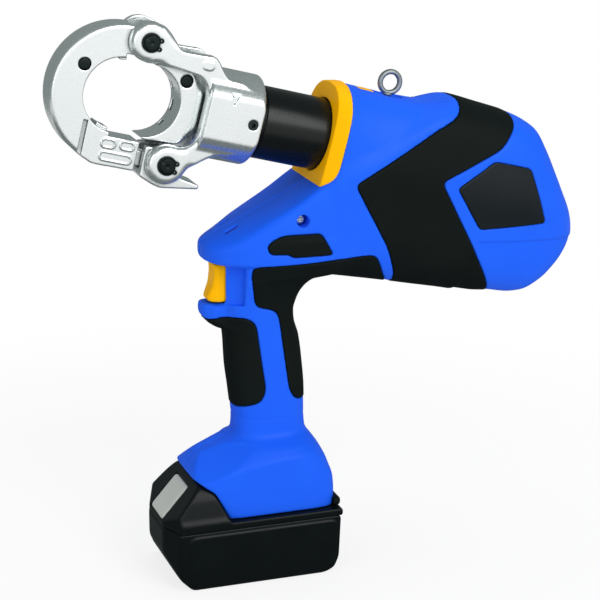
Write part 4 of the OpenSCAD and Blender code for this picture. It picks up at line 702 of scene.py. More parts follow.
def shellField(p, side):
    # the form less the beds of the skins, the cuts, the hollow inside its wall and the other half
    d = shellDetail
    form = housingForm(p)
    shell = form.copy()
    near = np.abs(form) < d["skinDepth"]
    q, f = p[near], form[near]
    for name in ("chevron", "small", "front", "rear", "plate"):
        if name == "plate" and side > 0:
            continue
        fit = plateFit if name == "plate" else gripFit
        bed = np.maximum(gripOutline(name, q) - fit["gap"], -(form[near] + fit["sunk"]))
        f = cutSoft(f, -bed, d["skinEdge"])
    shell[near] = f
    shell = cutSoft(shell, -shellCuts(p, side, form), d["cutEdge"])
    u, y, v = sideView(p)
    more, start, end = d["tailWall"]
    wall = d["wall"] + more * smoothStep(u, start, end)
    more, start, full, fade, end = d["flareWall"]
    wall = wall + more * (smoothStep(p[:, 2], start, full) - smoothStep(p[:, 2], fade, end))
    hollow = np.maximum(form + wall, d["collarRear"] + d["wall"] - u)
    hollow = np.maximum(hollow, d["shoeFloor"] + d["wall"] - p[:, 2])
    shell = np.maximum(shell, -hollow)
    return cutSoft(shell, -side * y + d["seamGap"], d["seamEdge"])


def skinField(p, name, side, fit):
    # the layer of the form between its proud and its sunk surface, inside the skin's outline
    form = housingForm(p)
    skin = cutSoft(form - fit["proud"], gripOutline(name, p), fit["edge"])
    skin = np.maximum(skin, -(form + fit["sunk"] - fit["behind"]))
    return np.maximum(skin, -side * p[:, 1] + fit["behind"]) if side else skin


shellStep = 1.22
skinStep = 0.9


def gripPiece(name, grip, side, node, margin):
    # a soft grip in place of a CAD node
    levelPiece(name, lambda p: skinField(p, grip, side, gripFit), node, margin, skinStep, "softGrip", "housing")


for side, end in ((-1, "left"), (1, "right")):
    levelPiece("housing_shell_" + end, lambda p: shellField(p, side), "housing_" + end, 4.0, shellStep, "blueHousing",
               "housing")
    gripPiece("side_band_" + end, "chevron", side, "side_grip_" + end, 8.0)
    gripPiece("small_panel_" + end, "small", side, "small_grip_" + end, 4.0)
gripPiece("handle_palm_front", "front", 0, "handle_front_grip", 18.0)
gripPiece("handle_palm_rear", "rear", 0, "handle_rear_grip", 8.0)
levelPiece("rating_plate_bare", lambda p: skinField(p, "plate", -1, plateFit), "side_plate", 4.0, 0.7, "darkPlate",
           "housing")


# Work light lenses
def lensField(p):
    # the long hole's outline between two depths below the form
    d = shellDetail
    form = housingForm(p)
    return within(lensOutline(p) + d["lensGap"], form + d["lensSunk"], -form - d["lensDepth"] + d["lensBack"])


# the windows' dark blue colour is painted shade of their slots and of the nose behind them
levelPiece("work_light_windows", lensField, "work_light_lenses", 4.0, 0.4, "lensPaintedShade", "housing")

# Screw head seen in the near recess: low dome with a round drive hole; its profile as height above the seat, radius
screwShape = {
    "at": (34.0, -27.0, 255.0), "bevel": 0.3,
    "dome": [[-0.1, 0], [-0.1, 1.05], [1.1, 1.5], [0.935, 2.59], [0.275, 3.7], [-2.4, 3.7], [-2.4, 0]],
}
verts, quads = lathe(latheProfile(screwShape["dome"], screwShape["bevel"], 3)[::-1], screwShape["at"], -across, 40)
makePiece("recess_screw_head", verts, quads, "screwSteel", "housing")

# Rubber bumper across the rear of the battery shoe
bumperShape = {"front": 57.0, "rear": 62.5, "low": 47.6, "top": 53.6, "half": 34.0, "edge": 2.5, "draft": 0.25,
               "box": ((55.0, -36.0, 45.6), (64.6, 36.0, 55.6)), "step": 0.7}


def bumperField(p):
    # a bar with rounded edges whose ends draw in toward the rear
    d = bumperShape
    x, y, z = p.T
    block = cutSoft(np.maximum(d["front"] - x, x - d["rear"]), np.maximum(d["low"] - z, z - d["top"]), d["edge"])
    return cutSoft(block, np.abs(y) - d["half"] + d["draft"] * np.maximum(x - d["front"], 0.0), d["edge"])


verts, quads = levelMesh(bumperField, *bumperShape["box"], bumperShape["step"])
makePiece("shoe_rear_bumper", verts, quads, "softGrip", "housing")

# Front collar: a shield-shaped ring with a flat front face and chamfered sides
collarShape = {
    # half of the rear outline: across, up
    "half": [[0, 38.4], [14, 36.8], [23.5, 32], [30, 25.5], [33.8, 18], [34.9, 5], [34.8, -10], [34.2, -25],
             [33, -37], [20, -44], [0, -46]],
    "front": 143.0, "rear": 152.0, "bore": 25.0, "chamferEnd": 150.6, "edge": 0.5, "boreEdge": 0.7,
    # how far the front outline lies inside the rear one: at the sides, and at the top
    "inset": 4.4, "insetTop": 1.6, "topFrom": 14.0, "topTo": 36.0, "lean": 0.88, "reach": 25.0,
}
halfOutline = np.asarray(collarShape["half"], float)
collarOutline = roundOutline(np.concatenate([halfOutline, (halfOutline * [-1, 1])[-2:0:-1]]), 4.0)


def collarField(p):
    # the outline, drawn in by an inset that falls evenly to nothing at the chamfer's end, between two planes, less
    # the round bore
    d = collarShape
    u, y, v = sideView(p)
    inset = d["inset"] - (d["inset"] - d["insetTop"]) * smoothStep(v, d["topFrom"], d["topTo"])
    share = np.clip((u - d["front"]) / (d["chamferEnd"] - d["front"]), 0.0, 1.0)
    ring = (outlineField(collarOutline, y, v, d["reach"]) + inset * (1.0 - share)) * d["lean"]
    ring = cutSoft(cutSoft(ring, d["front"] - u, d["edge"]), u - d["rear"], d["edge"])
    return cutSoft(ring, d["bore"] - np.hypot(y, v), d["boreEdge"])


levelPiece("front_collar_ring", collarField, "front_collar", 6.0, 0.8, "yellowPlastic", "housing")

# Cylinder: one closed profile turned about the barrel axis, with the thin ring line behind the fork
cylinderShape = {
    "bevel": 0.5,
    "profile": [[76, 18], [76, 22], [94.4, 22], [94.5, 24.1], [96.2, 24.1], [96.4, 23.5], [97.2, 23.5],
                [97.4, 24.5], [172, 24.5], [172, 14], [186, 14], [186, 3], [160, 3], [160, 18]],
}
profile = roundOutline(cylinderShape["profile"], cylinderShape["bevel"], 4)
verts, quads = lathe(np.concatenate([profile, profile[:1]]), jawCentre, along, 96)
makePiece("cylinder_tube", verts, quads, "blackCylinder", "head", ["cylinder_barrel"])

# Crimping head: forged plates on the barrel's side view
jawHalf = 12.5
seatRadius = 24.9
pinRadius = 5.4
boreGap = 0.05
outlineReach = 30.0
pocketSize = (4.2, 9.6)  # pocket of a die button: radius, and how far across it reaches
degreesPerRadian = 57.3
yokeShape = {
    "radius": 46.5, "lug": 11.5, "way": 27.3, "lip": -2.0, "rim": 3.2, "edge": 0.9,
    "block": [[-19, -20], [19.5, -20], [19.5, -47], [-9.5, -47], [-19, -42.5]],
    "tongue": (18.0, 27.0, 5.5, -44.0, -34.0),
    "groove": ((-19.0, -20.0), (-18.6, -48.0)), "grooveHalf": 1.4, "grooveDepth": 2.4,
    # bare raised fields on the lower block: centre, half length, half height
    "fields": [((-1.2, -32.0), 5.2, 3.2), ((11.6, -31.4), 5.2, 3.1), ((5.4, -40.4), 11.2, 3.2)], "fieldRise": 0.6,
    # a field has a rim: it rises over the first width and sinks by this share over the second
    "fieldRim": (-0.3, 0.3), "fieldSink": 1.3, "fieldInner": (0.75, 1.25),
    "lugBlend": 3.0, "blockBlend": 1.5, "blockRim": 1.2, "padRoot": 1.0, "cutEdge": 0.6,
    "button": (-28.0, 15.4),
    # die clip low in the seat and small catch at its upper end: angle, half length, height above the seat, half width
    "clip": (-107.0, 4.2, 2.2, 8.0), "catch": (99.0, 2.2, 1.6, 11.5),
}
ramShape = {
    "seatAt": 16.6, "seat": 23.9, "edge": 1.0, "shoulder": 12.0, "button": (41.2, 17.8), "neck": 8.0,
    "neckFront": 48.0, "shoulderFrom": (43.0, 52.0), "seatEdge": 0.7, "cutEdge": 0.5,
    "outline": [[17, 25.5], [42, 25.5], [53, 21], [59, 16], [61, 11], [61, -11], [58.5, -15.5], [53, -20.3],
                [44, -24.4], [17, -24.8]],
    # clip slots in the seat wall: angle, half its arc in degrees, and millimetres to a degree
    "slots": [(29.0, 7.0), (-3.0, 9.0), (-36.0, 5.0)], "slotAcross": (4.5, 10.0), "slotDepth": 3.0,
    "slotScale": 0.44,
}
forkShape = {
    "front": 62.0, "sideFront": 55.8, "rear": 94.2, "radius": 30.5, "flat": 26.5, "chamfer": 2.0, "boss": 13.2,
    "cheek": (12.85, 20.85), "cheekEase": (0.4, 0.1), "crook": 13.0, "root": (90.0, 20.0), "bossBlend": 3.0,
    "cheekBlend": 2.0, "flatEdge": 1.2, "rearEdge": 0.8, "frontEdge": 0.7, "chamferLean": 0.7071, "cutEdge": 0.8,
    # rounding of the cheeks: along the arms, how much more at the bosses, and from where to where it fades
    "edge": (2.0, 3.2, 13.0, 21.0),
    "upperArm": [[9.5, 25.6], [26, 25.6], [48, 23.2], [56, 20.5], [78, 18], [78, 23], [72, 23.6], [66.3, 23.8],
                 [58.6, 34.4], [54.6, 38.2], [45, 37.6], [31, 37.2], [27, 41.5], [22.6, 46.4], [15.5, 50.6]],
    "lowerArm": [[29, -30.7], [36, -26.3], [50, -24.3], [78, -18], [78, -21], [71, -22.5], [54, -37], [47, -46.4]],
    "notch": [[69.0, 20.0], [75.4, 20.0], [72.0, 10.2]], "notchDepth": 1.4,
    "rodBore": 10.35, "spigotBore": 22.0, "spigotFront": 76.0, "grub": (88.0, 3.0), "grubGap": 0.3,
    "mark": ((50.4, 31.6), 4.2, 3.0), "markRise": 0.45, "markEase": 0.4,
}
latchShape = {
    "hub": 10.5, "slotHalf": 6.5, "edge": 1.2, "cutEdge": 0.5,
    "outline": [[24, -29], [38.5, -28.4], [49.8, -38], [52, -45.8], [66, -48.2], [65.8, -51], [40, -54.7],
                [34, -53.4], [24.3, -49.6]],
    "slot": [[20, -25], [51, -25], [51, -48], [27, -48], [27, -45.1], [20, -45.1]],
}
yokeBlock = roundOutline(yokeShape["block"], 1.5)
ramOutline = roundOutline(ramShape["outline"], 5.0)
upperArm = roundOutline(forkShape["upperArm"], 3.0)
lowerArm = roundOutline(forkShape["lowerArm"], 3.0)
forkNotch = roundOutline(forkShape["notch"], 0.8)
latchOutline = roundOutline(latchShape["outline"], 1.6)
latchSlot = np.asarray(latchShape["slot"], float)


def buttonPocket(at, u, y, v):
    # a round blind hole: the larger of its overshoots in radius and in depth
    radius, floor = pocketSize
    return np.maximum(radiusFrom(at, u, v) - radius, y - floor)


def yokeField(p):
    # disc, lug and block joined softly, as a plate with rounded rims and raised fields, less the seat and the way into
    # it; then tongue, clip and catch added, and groove, button pocket and pin bore cut out
    d = yokeShape
    u, y, v = sideView(p)
    rho = np.hypot(u, v)
    fromPin = radiusFrom(hingeAt, u, v)
    ring = np.maximum(rho - d["radius"], u - np.where(v > 0, hingeAt[0], 0.0))
    block = outlineField(yokeBlock, u, v, outlineReach)
    rise = 0.0
    for (fu, fv), length, height in d["fields"]:
        inside = -capsuleField(u - fu, v - fv, length, height)
        shape = smoothStep(inside, *d["fieldRim"]) - d["fieldSink"] * smoothStep(inside, *d["fieldInner"])
        rise = rise + d["fieldRise"] * shape
    rim = np.where(block < ring, d["blockRim"], d["rim"])
    plate = joinSoft(joinSoft(ring, fromPin - d["lug"], d["lugBlend"]), block, d["blockBlend"])
    plate = cutSoft(plate, np.abs(y) - jawHalf - rise, rim)
    seat = np.minimum(rho - seatRadius, np.maximum(d["lip"] - u, np.abs(v) - d["way"]))
    plate = cutSoft(plate, -seat, d["edge"])
    front, rear, half, low, top = d["tongue"]
    plate = np.minimum(plate, within(front - u, u - rear, np.abs(y) - half, low - v, v - top))
    (ua, va), (ub, vb) = d["groove"]
    middle = ua + (v - va) * (ub - ua) / (vb - va)
    groove = within(np.abs(u - middle) - d["grooveHalf"], v - va, jawHalf - d["grooveDepth"] - np.abs(y))
    for angle, length, height, half in (d["clip"], d["catch"]):
        turn = np.abs((np.degrees(np.arctan2(v, u)) - angle + 180.0) % 360.0 - 180.0)
        pad = within(turn * rho / degreesPerRadian - length, seatRadius - height - rho,
                     rho - seatRadius - d["padRoot"], np.abs(y) - half)
        plate = np.minimum(plate, pad)
    cuts = either(groove, buttonPocket(d["button"], u, y, v), fromPin - pinRadius - boreGap)
    return cutSoft(plate, -cuts, d["cutEdge"])


def ramField(p):
    # the outline as a plate whose rounding grows toward the rear, less the round seat, the clip slots in its wall, the
    # button's pocket and the hole for the rod's neck
    d = ramShape
    u, y, v = sideView(p)
    rim = d["edge"] + (d["shoulder"] - d["edge"]) * smoothStep(u, *d["shoulderFrom"])
    plate = cutSoft(outlineField(ramOutline, u, v, outlineReach), np.abs(y) - jawHalf, rim)
    rho = np.hypot(u - d["seatAt"], v)
    plate = cutSoft(plate, d["seat"] - rho, d["seatEdge"])
    turn = np.degrees(np.arctan2(v, u - d["seatAt"]))
    near, far = d["slotAcross"]
    sideways = np.abs(y - (near + far) / 2) - (far - near) / 2
    cuts = buttonPocket(d["button"], u, y, v)
    for angle, arc in d["slots"]:
        pit = within((np.abs(turn - angle) - arc) * d["slotScale"], sideways, rho - d["seat"] - d["slotDepth"])
        cuts = np.minimum(cuts, pit)
    neck = np.maximum(np.hypot(y, v) - d["neck"] - boreGap, d["neckFront"] - u)
    return cutSoft(plate, -np.minimum(cuts, neck), d["cutEdge"])


def forkField(p):
    # a tube with two flats and a chamfered rear, joined softly to two cheeks: arms and bosses as plates outside the
    # gap, with a raised oval; less bores, spigot, notches and the grub screw's hole
    d = forkShape
    u, y, v = sideView(p)
    rho = np.hypot(y, v)
    inner, outer = d["cheek"]
    before, after = d["cheekEase"]
    front = d["front"] - (d["front"] - d["sideFront"]) * smoothStep(np.abs(y), inner - before, inner + after)
    tube = cutSoft(rho - d["radius"], np.abs(y) - d["flat"], d["flatEdge"])
    tube = cutSoft(tube, (rho - d["radius"] + u - d["rear"] + d["chamfer"]) * d["chamferLean"], d["rearEdge"])
    tube = cutSoft(cutSoft(tube, u - d["rear"], d["rearEdge"]), front - u, d["frontEdge"])
    upper, lower = radiusFrom(hingeAt, u, v), radiusFrom(latchAt, u, v)
    arms = np.minimum(joinSoft(upper - d["boss"], outlineField(upperArm, u, v, outlineReach), d["bossBlend"]),
                      joinSoft(lower - d["boss"], outlineField(lowerArm, u, v, outlineReach), d["bossBlend"]))
    rootEnd, rootHalf = d["root"]
    arms = joinSoft(arms, within(d["sideFront"] - u, u - rootEnd, np.abs(v) - rootHalf), d["crook"])
    least, more, start, end = d["edge"]
    edge = least + more * (1.0 - smoothStep(np.minimum(upper, lower), start, end))
    (mu, mv), length, height = d["mark"]
    mark = capsuleField(u - mu, v - mv, length, height)
    outside = np.abs(y) - outer - d["markRise"] * smoothStep(-mark, -d["markEase"], d["markEase"])
    cheek = np.maximum(cutSoft(arms, outside, edge), np.maximum(inner - np.abs(y), outside))
    fork = joinSoft(tube, cheek, d["cheekBlend"])
    notch = np.maximum(outlineField(forkNotch, u, v, outlineReach), d["flat"] - d["notchDepth"] - np.abs(y))
    grub = np.maximum(np.hypot(u - d["grub"][0], v) - d["grub"][1] - d["grubGap"], y)
    cuts = either(rho - d["rodBore"], np.maximum(rho - d["spigotBore"], d["spigotFront"] - u), notch, grub,
                  upper - pinRadius, lower - pinRadius)
    return cutSoft(fork, -cuts, d["cutEdge"])


def latchField(p):
    # lever outline and hub as one plate with rounded rims, less the middle slot and the pin's bore
    d = latchShape
    u, y, v = sideView(p)
    fromPin = radiusFrom(latchAt, u, v)
    arm = np.minimum(outlineField(latchOutline, u, v, outlineReach), fromPin - d["hub"])
    arm = cutSoft(arm, np.abs(y) - jawHalf, d["edge"])
    slot = np.maximum(outlineField(latchSlot, u, v, outlineReach), np.abs(y) - d["slotHalf"])
    return cutSoft(arm, -np.minimum(slot, fromPin - pinRadius - boreGap), d["cutEdge"])


headStep = 0.7
levelPiece("c_yoke_forging", yokeField, "c_yoke", 2.0, headStep * 0.75, "nickelHead", "yoke")
levelPiece("ram_jaw_forging", ramField, "ram_jaw", 5.0, headStep, "nickelHead", "ram")
levelPiece("fork_forging", forkField, "head_fork", 4.0, headStep, "nickelHead", "head")
levelPiece("latch_forging", latchField, "latch_lever", 2.0, headStep, "nickelHead", "latch")

# Pins across the head, turned with clip grooves and centre marks
pinShape = {"end": 23.25, "clip": (21.25, 22.25), "clipDepth": 0.8, "chamfer": 0.7, "mark": 1.4, "markDepth": 0.7}


def pinProfile():
    # half a pin from its centre mark to its clip groove, and its mirror, with small bevels
    d = pinShape
    half = [[d["end"] - d["markDepth"], 0.0], [d["end"], d["mark"]], [d["end"], pinRadius - d["chamfer"]],
            [d["end"] - d["chamfer"], pinRadius], [d["clip"][1], pinRadius],
            [d["clip"][1], pinRadius - d["clipDepth"]],
            [d["clip"][0], pinRadius - d["clipDepth"]], [d["clip"][0], pinRadius]]
    other = [[-s, r] for s, r in half[::-1]]
    return latheProfile(half + other, 0.25, 3)


for name, at in (("hinge_pin", hingeAt), ("latch_pin", latchAt)):
    verts, quads = lathe(pinProfile()[::-1], fromBarrel(at[0], 0.0, at[1]), across, 64)
    makePiece(name + "_turned", verts, quads, "blackPin", "head", [name])

# Sprung clips on the pin ends: flat open rings with an eye at each end
clipShape = {"middle": 5.5, "half": 0.9, "across": 21.75, "thick": 0.5, "eyes": (22.0, -28.0), "eyeAt": 6.7,
"eye": 1.6,
             "hole": 0.7, "gap": (-3.0, 16.0)}


def clipField(p):
    # round each pin end: distance from a ring's middle line less its half width, open over the gap's angle, with two
    # holed eyes, between two planes
    d = clipShape
    u, y, v = sideView(p)
    clips = []
    for at in (hingeAt, latchAt):
        a, b = u - at[0], v - at[1]
        r, turn = np.hypot(a, b), np.degrees(np.arctan2(b, a))
        gap = (d["gap"][1] - np.abs(turn - d["gap"][0])) * r / degreesPerRadian
        ring = np.maximum(np.abs(r - d["middle"]) - d["half"], gap)
        for angle in np.radians(d["eyes"]):
            eye = np.hypot(a - d["eyeAt"] * np.cos(angle), b - d["eyeAt"] * np.sin(angle))
            ring = np.maximum(np.minimum(ring, eye - d["eye"]), d["hole"] - eye)
        clips.append(np.maximum(ring, np.abs(np.abs(y) - d["across"]) - d["thick"]))
    return np.minimum(*clips)


clipStep = 0.35
levelPiece("pin_clips_sprung", clipField, "pin_circlips", 1.5, clipStep, "blackPin", "head")

# Die buttons: low crowned rounds across the head; profile as place across, radius
dieButton = {"profile": [[-12.86, 0], [-12.8, 2.46], [-12.62, 3.6], [-12, 4.1], [-2.8, 4.1], [-2.8, 0]], "bevel": 0.3}
for name, body, at in (("yoke_die_button", "yoke_button", yokeShape["button"]),
                       ("ram_die_button", "ram_button", ramShape["button"])):
    profile = latheProfile(dieButton["profile"], dieButton["bevel"], 3)
    verts, quads = lathe(profile, fromBarrel(at[0], 0.0, at[1]), across, 48)
    makePiece(name + "_turned", verts, quads, "blackPin", body, [name])

# Trigger: concave yellow front that narrows in plan, on a round stem
triggerShape = {
    "outline": [[-20.6, 223], [-20.2, 216.5], [-21.4, 208], [-25.4, 199.2], [-23.6, 196.6], [-19, 196.3],
                [-9, 196.3], [-9, 223]],
    "taper": [[-25.5, 5.2], [-21, 7.6], [-17, 8.9], [-9, 9.0]], "edge": 2.2, "reach": 20.0,
    "stem": (210.0, 3.0, -10.0, 12.0),  # height, radius, from, to
}
triggerOutline = roundOutline(triggerShape["outline"], 2.0, 6)


def triggerField(p):
    # the side outline within a half width read from the taper, and a round stem behind it
    d = triggerShape
    x, y, z = p.T
    half = smoothTable(d["taper"], x)[0]
    block = cutSoft(outlineField(triggerOutline, x, z, d["reach"]), np.abs(y) - half, d["edge"])
    height, radius, start, end = d["stem"]
    return np.minimum(block, within(np.hypot(y, z - height) - radius, x - end, start - x))


levelPiece("trigger_moulded", triggerField, "trigger", 2.0, 0.6, "yellowPlastic", "trigger")

# Return button: crowned key with a foot over the valve
returnShape = {"at": 169.0, "half": (5.5, 6.0), "top": 36.9, "low": 30.45, "crown": 60.0, "edge": 1.2,
               "foot": (169.0, 180.5, 4.0, 1.5)}


def returnField(p):
    # a block whose top falls by the squared distance from its middle over twice the crown radius, and a flat foot
    d = returnShape
    u, y, v = sideView(p)
    key = np.maximum(np.abs(u - d["at"]) - d["half"][0], np.abs(y) - d["half"][1])
    top = v - d["top"] + (y * y + (u - d["at"]) ** 2) / (2 * d["crown"])
    key = np.maximum(cutSoft(key, top, d["edge"]), d["low"] - v)
    front, rear, half, thick = d["foot"]
    foot = within(front - u, u - rear, np.abs(y) - half, d["low"] - v, v - d["low"] - thick)
    return np.minimum(key, foot)


levelPiece("return_button_key", returnField, "return_button", 1.5, 0.5, "yellowPlastic", "return_button")

# Suspension eye: a bent ring with a flat bore wall, and its turned shank and nut
eyeShape = {
    "at": 186.0, "up": 44.5, "ring": 7.125, "bar": 1.875, "flat": 0.25, "bevel": 0.4,
    # height, radius
    "shank": [[28, 0], [28, 4], [29.3, 4], [29.3, 2.4], [35.4, 2.4], [35.9, 3.3], [37.4, 3], [38.2, 0]],
}
d = eyeShape
t = np.linspace(0.0, 2 * np.pi, 25)
reach = np.maximum(d["ring"] + d["bar"] * np.cos(t), d["ring"] - d["bar"] + d["flat"])
bar = np.stack([d["bar"] * np.sin(t), reach], 1)
ringVerts, ringFaces = lathe(bar, fromBarrel(d["at"], 0.0, d["up"]), across)
shankVerts, shankFaces = lathe(latheProfile(d["shank"], d["bevel"], 3), fromBarrel(d["at"], 0.0, 0.0), upward, 40)
shankFaces = [[i + len(ringVerts) for i in face] for face in shankFaces]
makePiece("suspension_eye_ring", np.concatenate([ringVerts, shankVerts]), ringFaces + shankFaces, "eyeSteel", "eye",
          ["suspension_eye"])

# Battery: tub with a raised panel on each side, cover with hump and rails, grey button
batteryShape = {
    "half": 38.6, "seam": 42.0,
    "tub": [[-47, 0], [49, 0], [56.3, 3], [59.8, 11], [61.3, 42], [-63.5, 42], [-63.5, 24], [-56, 9]],
    "cover": [[-63.5, 42], [62.3, 42], [62.3, 47], [-18.5, 47], [-28.6, 66.6], [-35.5, 71], [-39, 73], [-63.5, 45.5]],
    "humpFront": [[-39, 30], [39, 30], [39, 47], [36.5, 50.5], [34.3, 58], [32.5, 64], [29.5, 69.5], [24, 75],
                  [-24, 75], [-29.5, 69.5], [-32.5, 64], [-34.3, 58], [-36.5, 50.5], [-39, 47]],
    "plan": [[-63.5, -17.5], [-55, -38.6], [66, -38.6], [66, 38.6], [-55, 38.6], [-63.5, 17.5]],
    "panel": [[-48.5, 3.0], [-48.5, 39.0], [58.2, 39.0], [56.8, 11], [49, 3.0]], "panelRise": 1.2,
    "cells": (-48.0, 48.0, 33.0, 2.5), "rails": (-22.0, 50.0, 27.0, 22.0, 51.0, 56.0), "bladeY": 12.0,
    "bladeHalf": 1.5,
    "bladeFrom": -1.0, "bladeFloor": 48.5, "slope": ((-63.5, 45.5), (-39.0, 73.0)), "panelEase": 0.4,
    "tubReach": 20.0, "tubEdge": 1.6, "tubPlanEdge": 1.5,
    "coverReach": 25.0, "coverEdge": 1.6, "coverPlanEdge": 1.2, "coverInset": 0.5, "cutEdge": 0.6,
}
tubOutline = roundOutline(batteryShape["tub"], 3.0)
coverOutline = roundOutline(batteryShape["cover"], 1.6)
humpOutline = roundOutline(batteryShape["humpFront"], 2.5)
planOutline = roundOutline(batteryShape["plan"], 2.0)
panelOutline = roundOutline(batteryShape["panel"], 5.0)
buttonShape = {"from": 1.6, "length": 28.6, "half": 14.0, "proud": 0.5, "deep": 6.5, "pocket": 20.0, "edge": 1.6,
               "corner": 3.0, "gap": 0.35}
(footX, footZ), (topX, topZ) = batteryShape["slope"]
slope = np.array([topX - footX, 0.0, topZ - footZ])
slope /= np.linalg.norm(slope)
slopeOut = np.array([-slope[2], 0.0, slope[0]])
slopeFoot = np.array([footX, 0.0, footZ])


def onSlope(p):
    # along the slope, across and out of it: the offset from its foot projected on both directions
    q = p - slopeFoot
    return q @ slope, p[:, 1], q @ slopeOut


def keyPocket(p):
    # the box that holds the key: the largest of the overshoots along the slope, across it and below it
    b = buttonShape
    a, y, c = onSlope(p)
    return within(np.abs(a - b["from"] - b["length"] / 2) - b["length"] / 2 - b["gap"],
                  np.abs(y) - b["half"] - b["gap"], -b["pocket"] - c)


def tubField(p):
    # the side outline within a half width that is less outside the raised panel, cut by the plan, less the room for
    # the cells and the key
    d = batteryShape
    x, y, z = p.T
    panel = smoothStep(outlineField(panelOutline, x, z, d["tubReach"]), -d["panelEase"], d["panelEase"])
    side = np.abs(y) - d["half"] + d["panelRise"] * panel
    tub = cutSoft(outlineField(tubOutline, x, z, d["tubReach"]), side, d["tubEdge"])
    tub = cutSoft(tub, outlineField(planOutline, x, y, d["tubReach"]), d["tubPlanEdge"])
    front, rear, half, floor = d["cells"]
    cells = within(front - x, x - rear, np.abs(y) - half, floor - z)
    return np.maximum(tub, -np.minimum(cells, keyPocket(p)))


def coverField(p):
    # what lies inside side outline, front outline and plan, and the rails, less blade slots and key
    d = batteryShape
    x, y, z = p.T
    reach = d["coverReach"]
    cover = cutSoft(outlineField(coverOutline, x, z, reach), outlineField(humpOutline, y, z, reach), d["coverEdge"])
    cover = cutSoft(cover, outlineField(planOutline, x, y, reach) + d["coverInset"], d["coverPlanEdge"])
    front, rear, half, stem, neck, top = d["rails"]
    rails = within(front - x, x - rear, z - top, d["seam"] - z)
    rails = np.maximum(rails, np.where(z > neck, np.abs(y) - half, np.abs(y) - stem))
    cover = np.minimum(cover, rails)
    blades = within(d["bladeFrom"] - x, np.abs(np.abs(y) - d["bladeY"]) - d["bladeHalf"], d["bladeFloor"] - z)
    return cutSoft(cover, -np.minimum(blades, keyPocket(p)), d["cutEdge"])


def buttonField(p):
    # a rounded rectangle on the slope, from a little above it to some depth
    b = buttonShape
    a, y, c = onSlope(p)
    key = cutSoft(np.abs(a - b["from"] - b["length"] / 2) - b["length"] / 2, np.abs(y) - b["half"], b["corner"])
    return np.maximum(cutSoft(key, c - b["proud"], b["edge"]), -c - b["deep"])


batteryStep = 0.9
levelPiece("battery_tub", tubField, "battery_case", 5.0, batteryStep, "batteryBlack", "battery")
levelPiece("battery_lid", coverField, "battery_cover", 5.0, batteryStep, "batteryBlack", "battery")
levelPiece("battery_key", buttonField, "battery_button", 4.0, 0.6, "buttonGrey", "battery_button")

# Stage: white paper floor, grey cards round it and a dark one below that only metal and gloss see, soft studio light
stageLight = {"world": 0.42, "paper": "#F7F8F8", "paperRough": 0.9, "paperGloss": 0.1, "paperWhite": 0.8,
              "whiteFrom": 0.25, "whiteTo": 0.65, "card": "#7E8786", "cardLow": "#626A69"}


def stageSheet(name, corners, material):
    # one flat quad from its four corners, as part of the stage
    mesh = bpy.data.meshes.new(name)
    mesh.from_pydata(corners, [], [(0, 1, 2, 3)])
    mesh.materials.append(material)
    sheet = bpy.data.objects.new(name, mesh)
    bpy.context.scene.collection.objects.link(sheet)
    return sheet


def seenDirectly(tree):
    # 1 for rays from the camera, a mirror surface or through glass, so all three see the white
    path = addNode(tree, "ShaderNodeLightPath")
    either = addNode(tree,
    "ShaderNodeMath", links={0: path.outputs["Is Camera Ray"], 1: path.outputs["Is Glossy Ray"]},
                     operation="MAXIMUM")
    return addNode(tree, "ShaderNodeMath", links={0: either.outputs[0], 1: path.outputs["Is Transmission Ray"]},
                   operation="MAXIMUM").outputs[0]


paper = bpy.data.materials.new("paper_white_floor")
paper.use_nodes = True
tree = paper.node_tree
shader = tree.nodes["Principled BSDF"]
shader.inputs["Base Color"].default_value = colour(stageLight["paper"])
shader.inputs["Roughness"].default_value = stageLight["paperRough"]
shader.inputs["Specular IOR Level"].default_value = stageLight["paperGloss"]
place = addNode(tree, "ShaderNodeTexCoord").outputs["Object"]
far = addNode(tree, "ShaderNodeVectorMath", links={0: place}, operation="LENGTH")
white = addNode(tree, "ShaderNodeMapRange", {"From Min": stageLight["whiteFrom"], "From Max": stageLight["whiteTo"],
                                             "To Min": stageLight["paperWhite"], "To Max": 1.0},
                {0: far.outputs["Value"]}, interpolation_type="SMOOTHSTEP")
share = addNode(tree, "ShaderNodeMath", links={0: white.outputs[0], 1: seenDirectly(tree)}, operation="MULTIPLY")
glow = addNode(tree, "ShaderNodeEmission", {"Color": colour("#FFFFFF"), "Strength": 1.0})
mixed = addNode(tree, "ShaderNodeMixShader", links={0: share.outputs[0], 1: shader.outputs[0], 2: glow.outputs[0]})
tree.links.new(mixed.outputs[0], tree.nodes["Material Output"].inputs["Surface"])
stageSheet("floor", [(-6, -6, 0), (6, -6, 0), (6, 6, 0), (-6, 6, 0)], paper)


def cardMaterial(name, code):
    # an even glow of one colour
    material = bpy.data.materials.new(name)
    material.use_nodes = True
    tree = material.node_tree
    glow = addNode(tree, "ShaderNodeEmission", {"Color": colour(code), "Strength": 1.0})
    tree.links.new(glow.outputs[0], tree.nodes["Material Output"].inputs["Surface"])
    return material


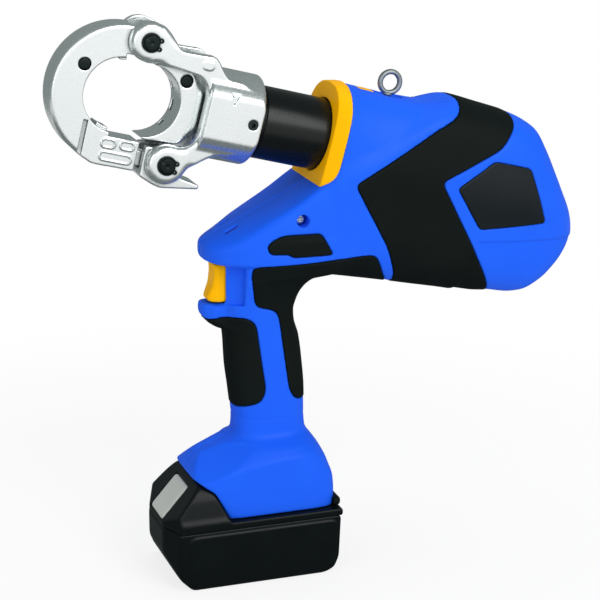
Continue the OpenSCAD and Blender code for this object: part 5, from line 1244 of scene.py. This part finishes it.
grey = cardMaterial("card_grey_matt", stageLight["card"])
dark = cardMaterial("card_dark_matt", stageLight["cardLow"])
for name, corners in (("card_below", [(-0.8, -0.7, 0.001), (0.9, -0.7, 0.001), (0.9, 0.9, 0.001), (-0.8, 0.9, 0.001)]),
                      ("card_behind", [(-2.4, 1.1, 0), (2.6, 1.1, 0), (2.6, 1.1, 2.5), (-2.4, 1.1, 2.5)]),
                      ("card_above", [(-3, -2.6, 2.5), (3, -2.6, 2.5), (3, 1.1, 2.5), (-3, 1.1, 2.5)]),
                      ("card_left", [(-1.3, -0.9, 0), (-1.3, 1.1, 0), (-1.3, 1.1, 2.5), (-1.3, -0.9, 2.5)]),
                      ("card_right", [(1.5, -0.7, 0), (1.5, 1.1, 0), (1.5, 1.1, 2.5), (1.5, -0.7, 2.5)])):
    card = stageSheet(name, corners, dark if name == "card_below" else grey)
    card.visible_camera = False
    card.visible_diffuse = False
    card.visible_shadow = False

world = bpy.data.worlds.new("studio")
bpy.context.scene.world = world
world.use_nodes = True
tree = world.node_tree
sky = tree.nodes["Background"]
sky.inputs["Color"].default_value = colour("#FFFFFF")
sky.inputs["Strength"].default_value = stageLight["world"]
backdrop = addNode(tree, "ShaderNodeBackground", {"Color": colour("#FFFFFF"), "Strength": 1.0})
mixed = addNode(tree, "ShaderNodeMixShader", links={0: seenDirectly(tree), 1: sky.outputs[0], 2: backdrop.outputs[0]})
tree.links.new(mixed.outputs[0], tree.nodes["World Output"].inputs["Surface"])

lamps = {
    "key": {"place": (0.7, -1.9, 1.5), "aim": (0.05, 0, 0.22), "size": 1.5, "power": 30.0, "mirrored": True},
    "fill": {"place": (-1.7, -1.3, 1.0), "aim": (0.05, 0, 0.22), "size": 1.4, "power": 9.0, "mirrored": True},
    "top": {"place": (0.2, 0.2, 2.2), "aim": (0.05, 0, 0.22), "size": 1.6, "power": 14.0, "mirrored": False},
}
for name, lamp in lamps.items():
    light = bpy.data.lights.new(name, "AREA")
    light.size = lamp["size"]
    light.energy = lamp["power"]
    holder = bpy.data.objects.new(name, light)
    holder.location = lamp["place"]
    holder.rotation_euler = (Vector(lamp["aim"]) - Vector(lamp["place"])).to_track_quat("-Z", "Y").to_euler()
    holder.visible_glossy = lamp["mirrored"]
    bpy.context.scene.collection.objects.link(holder)
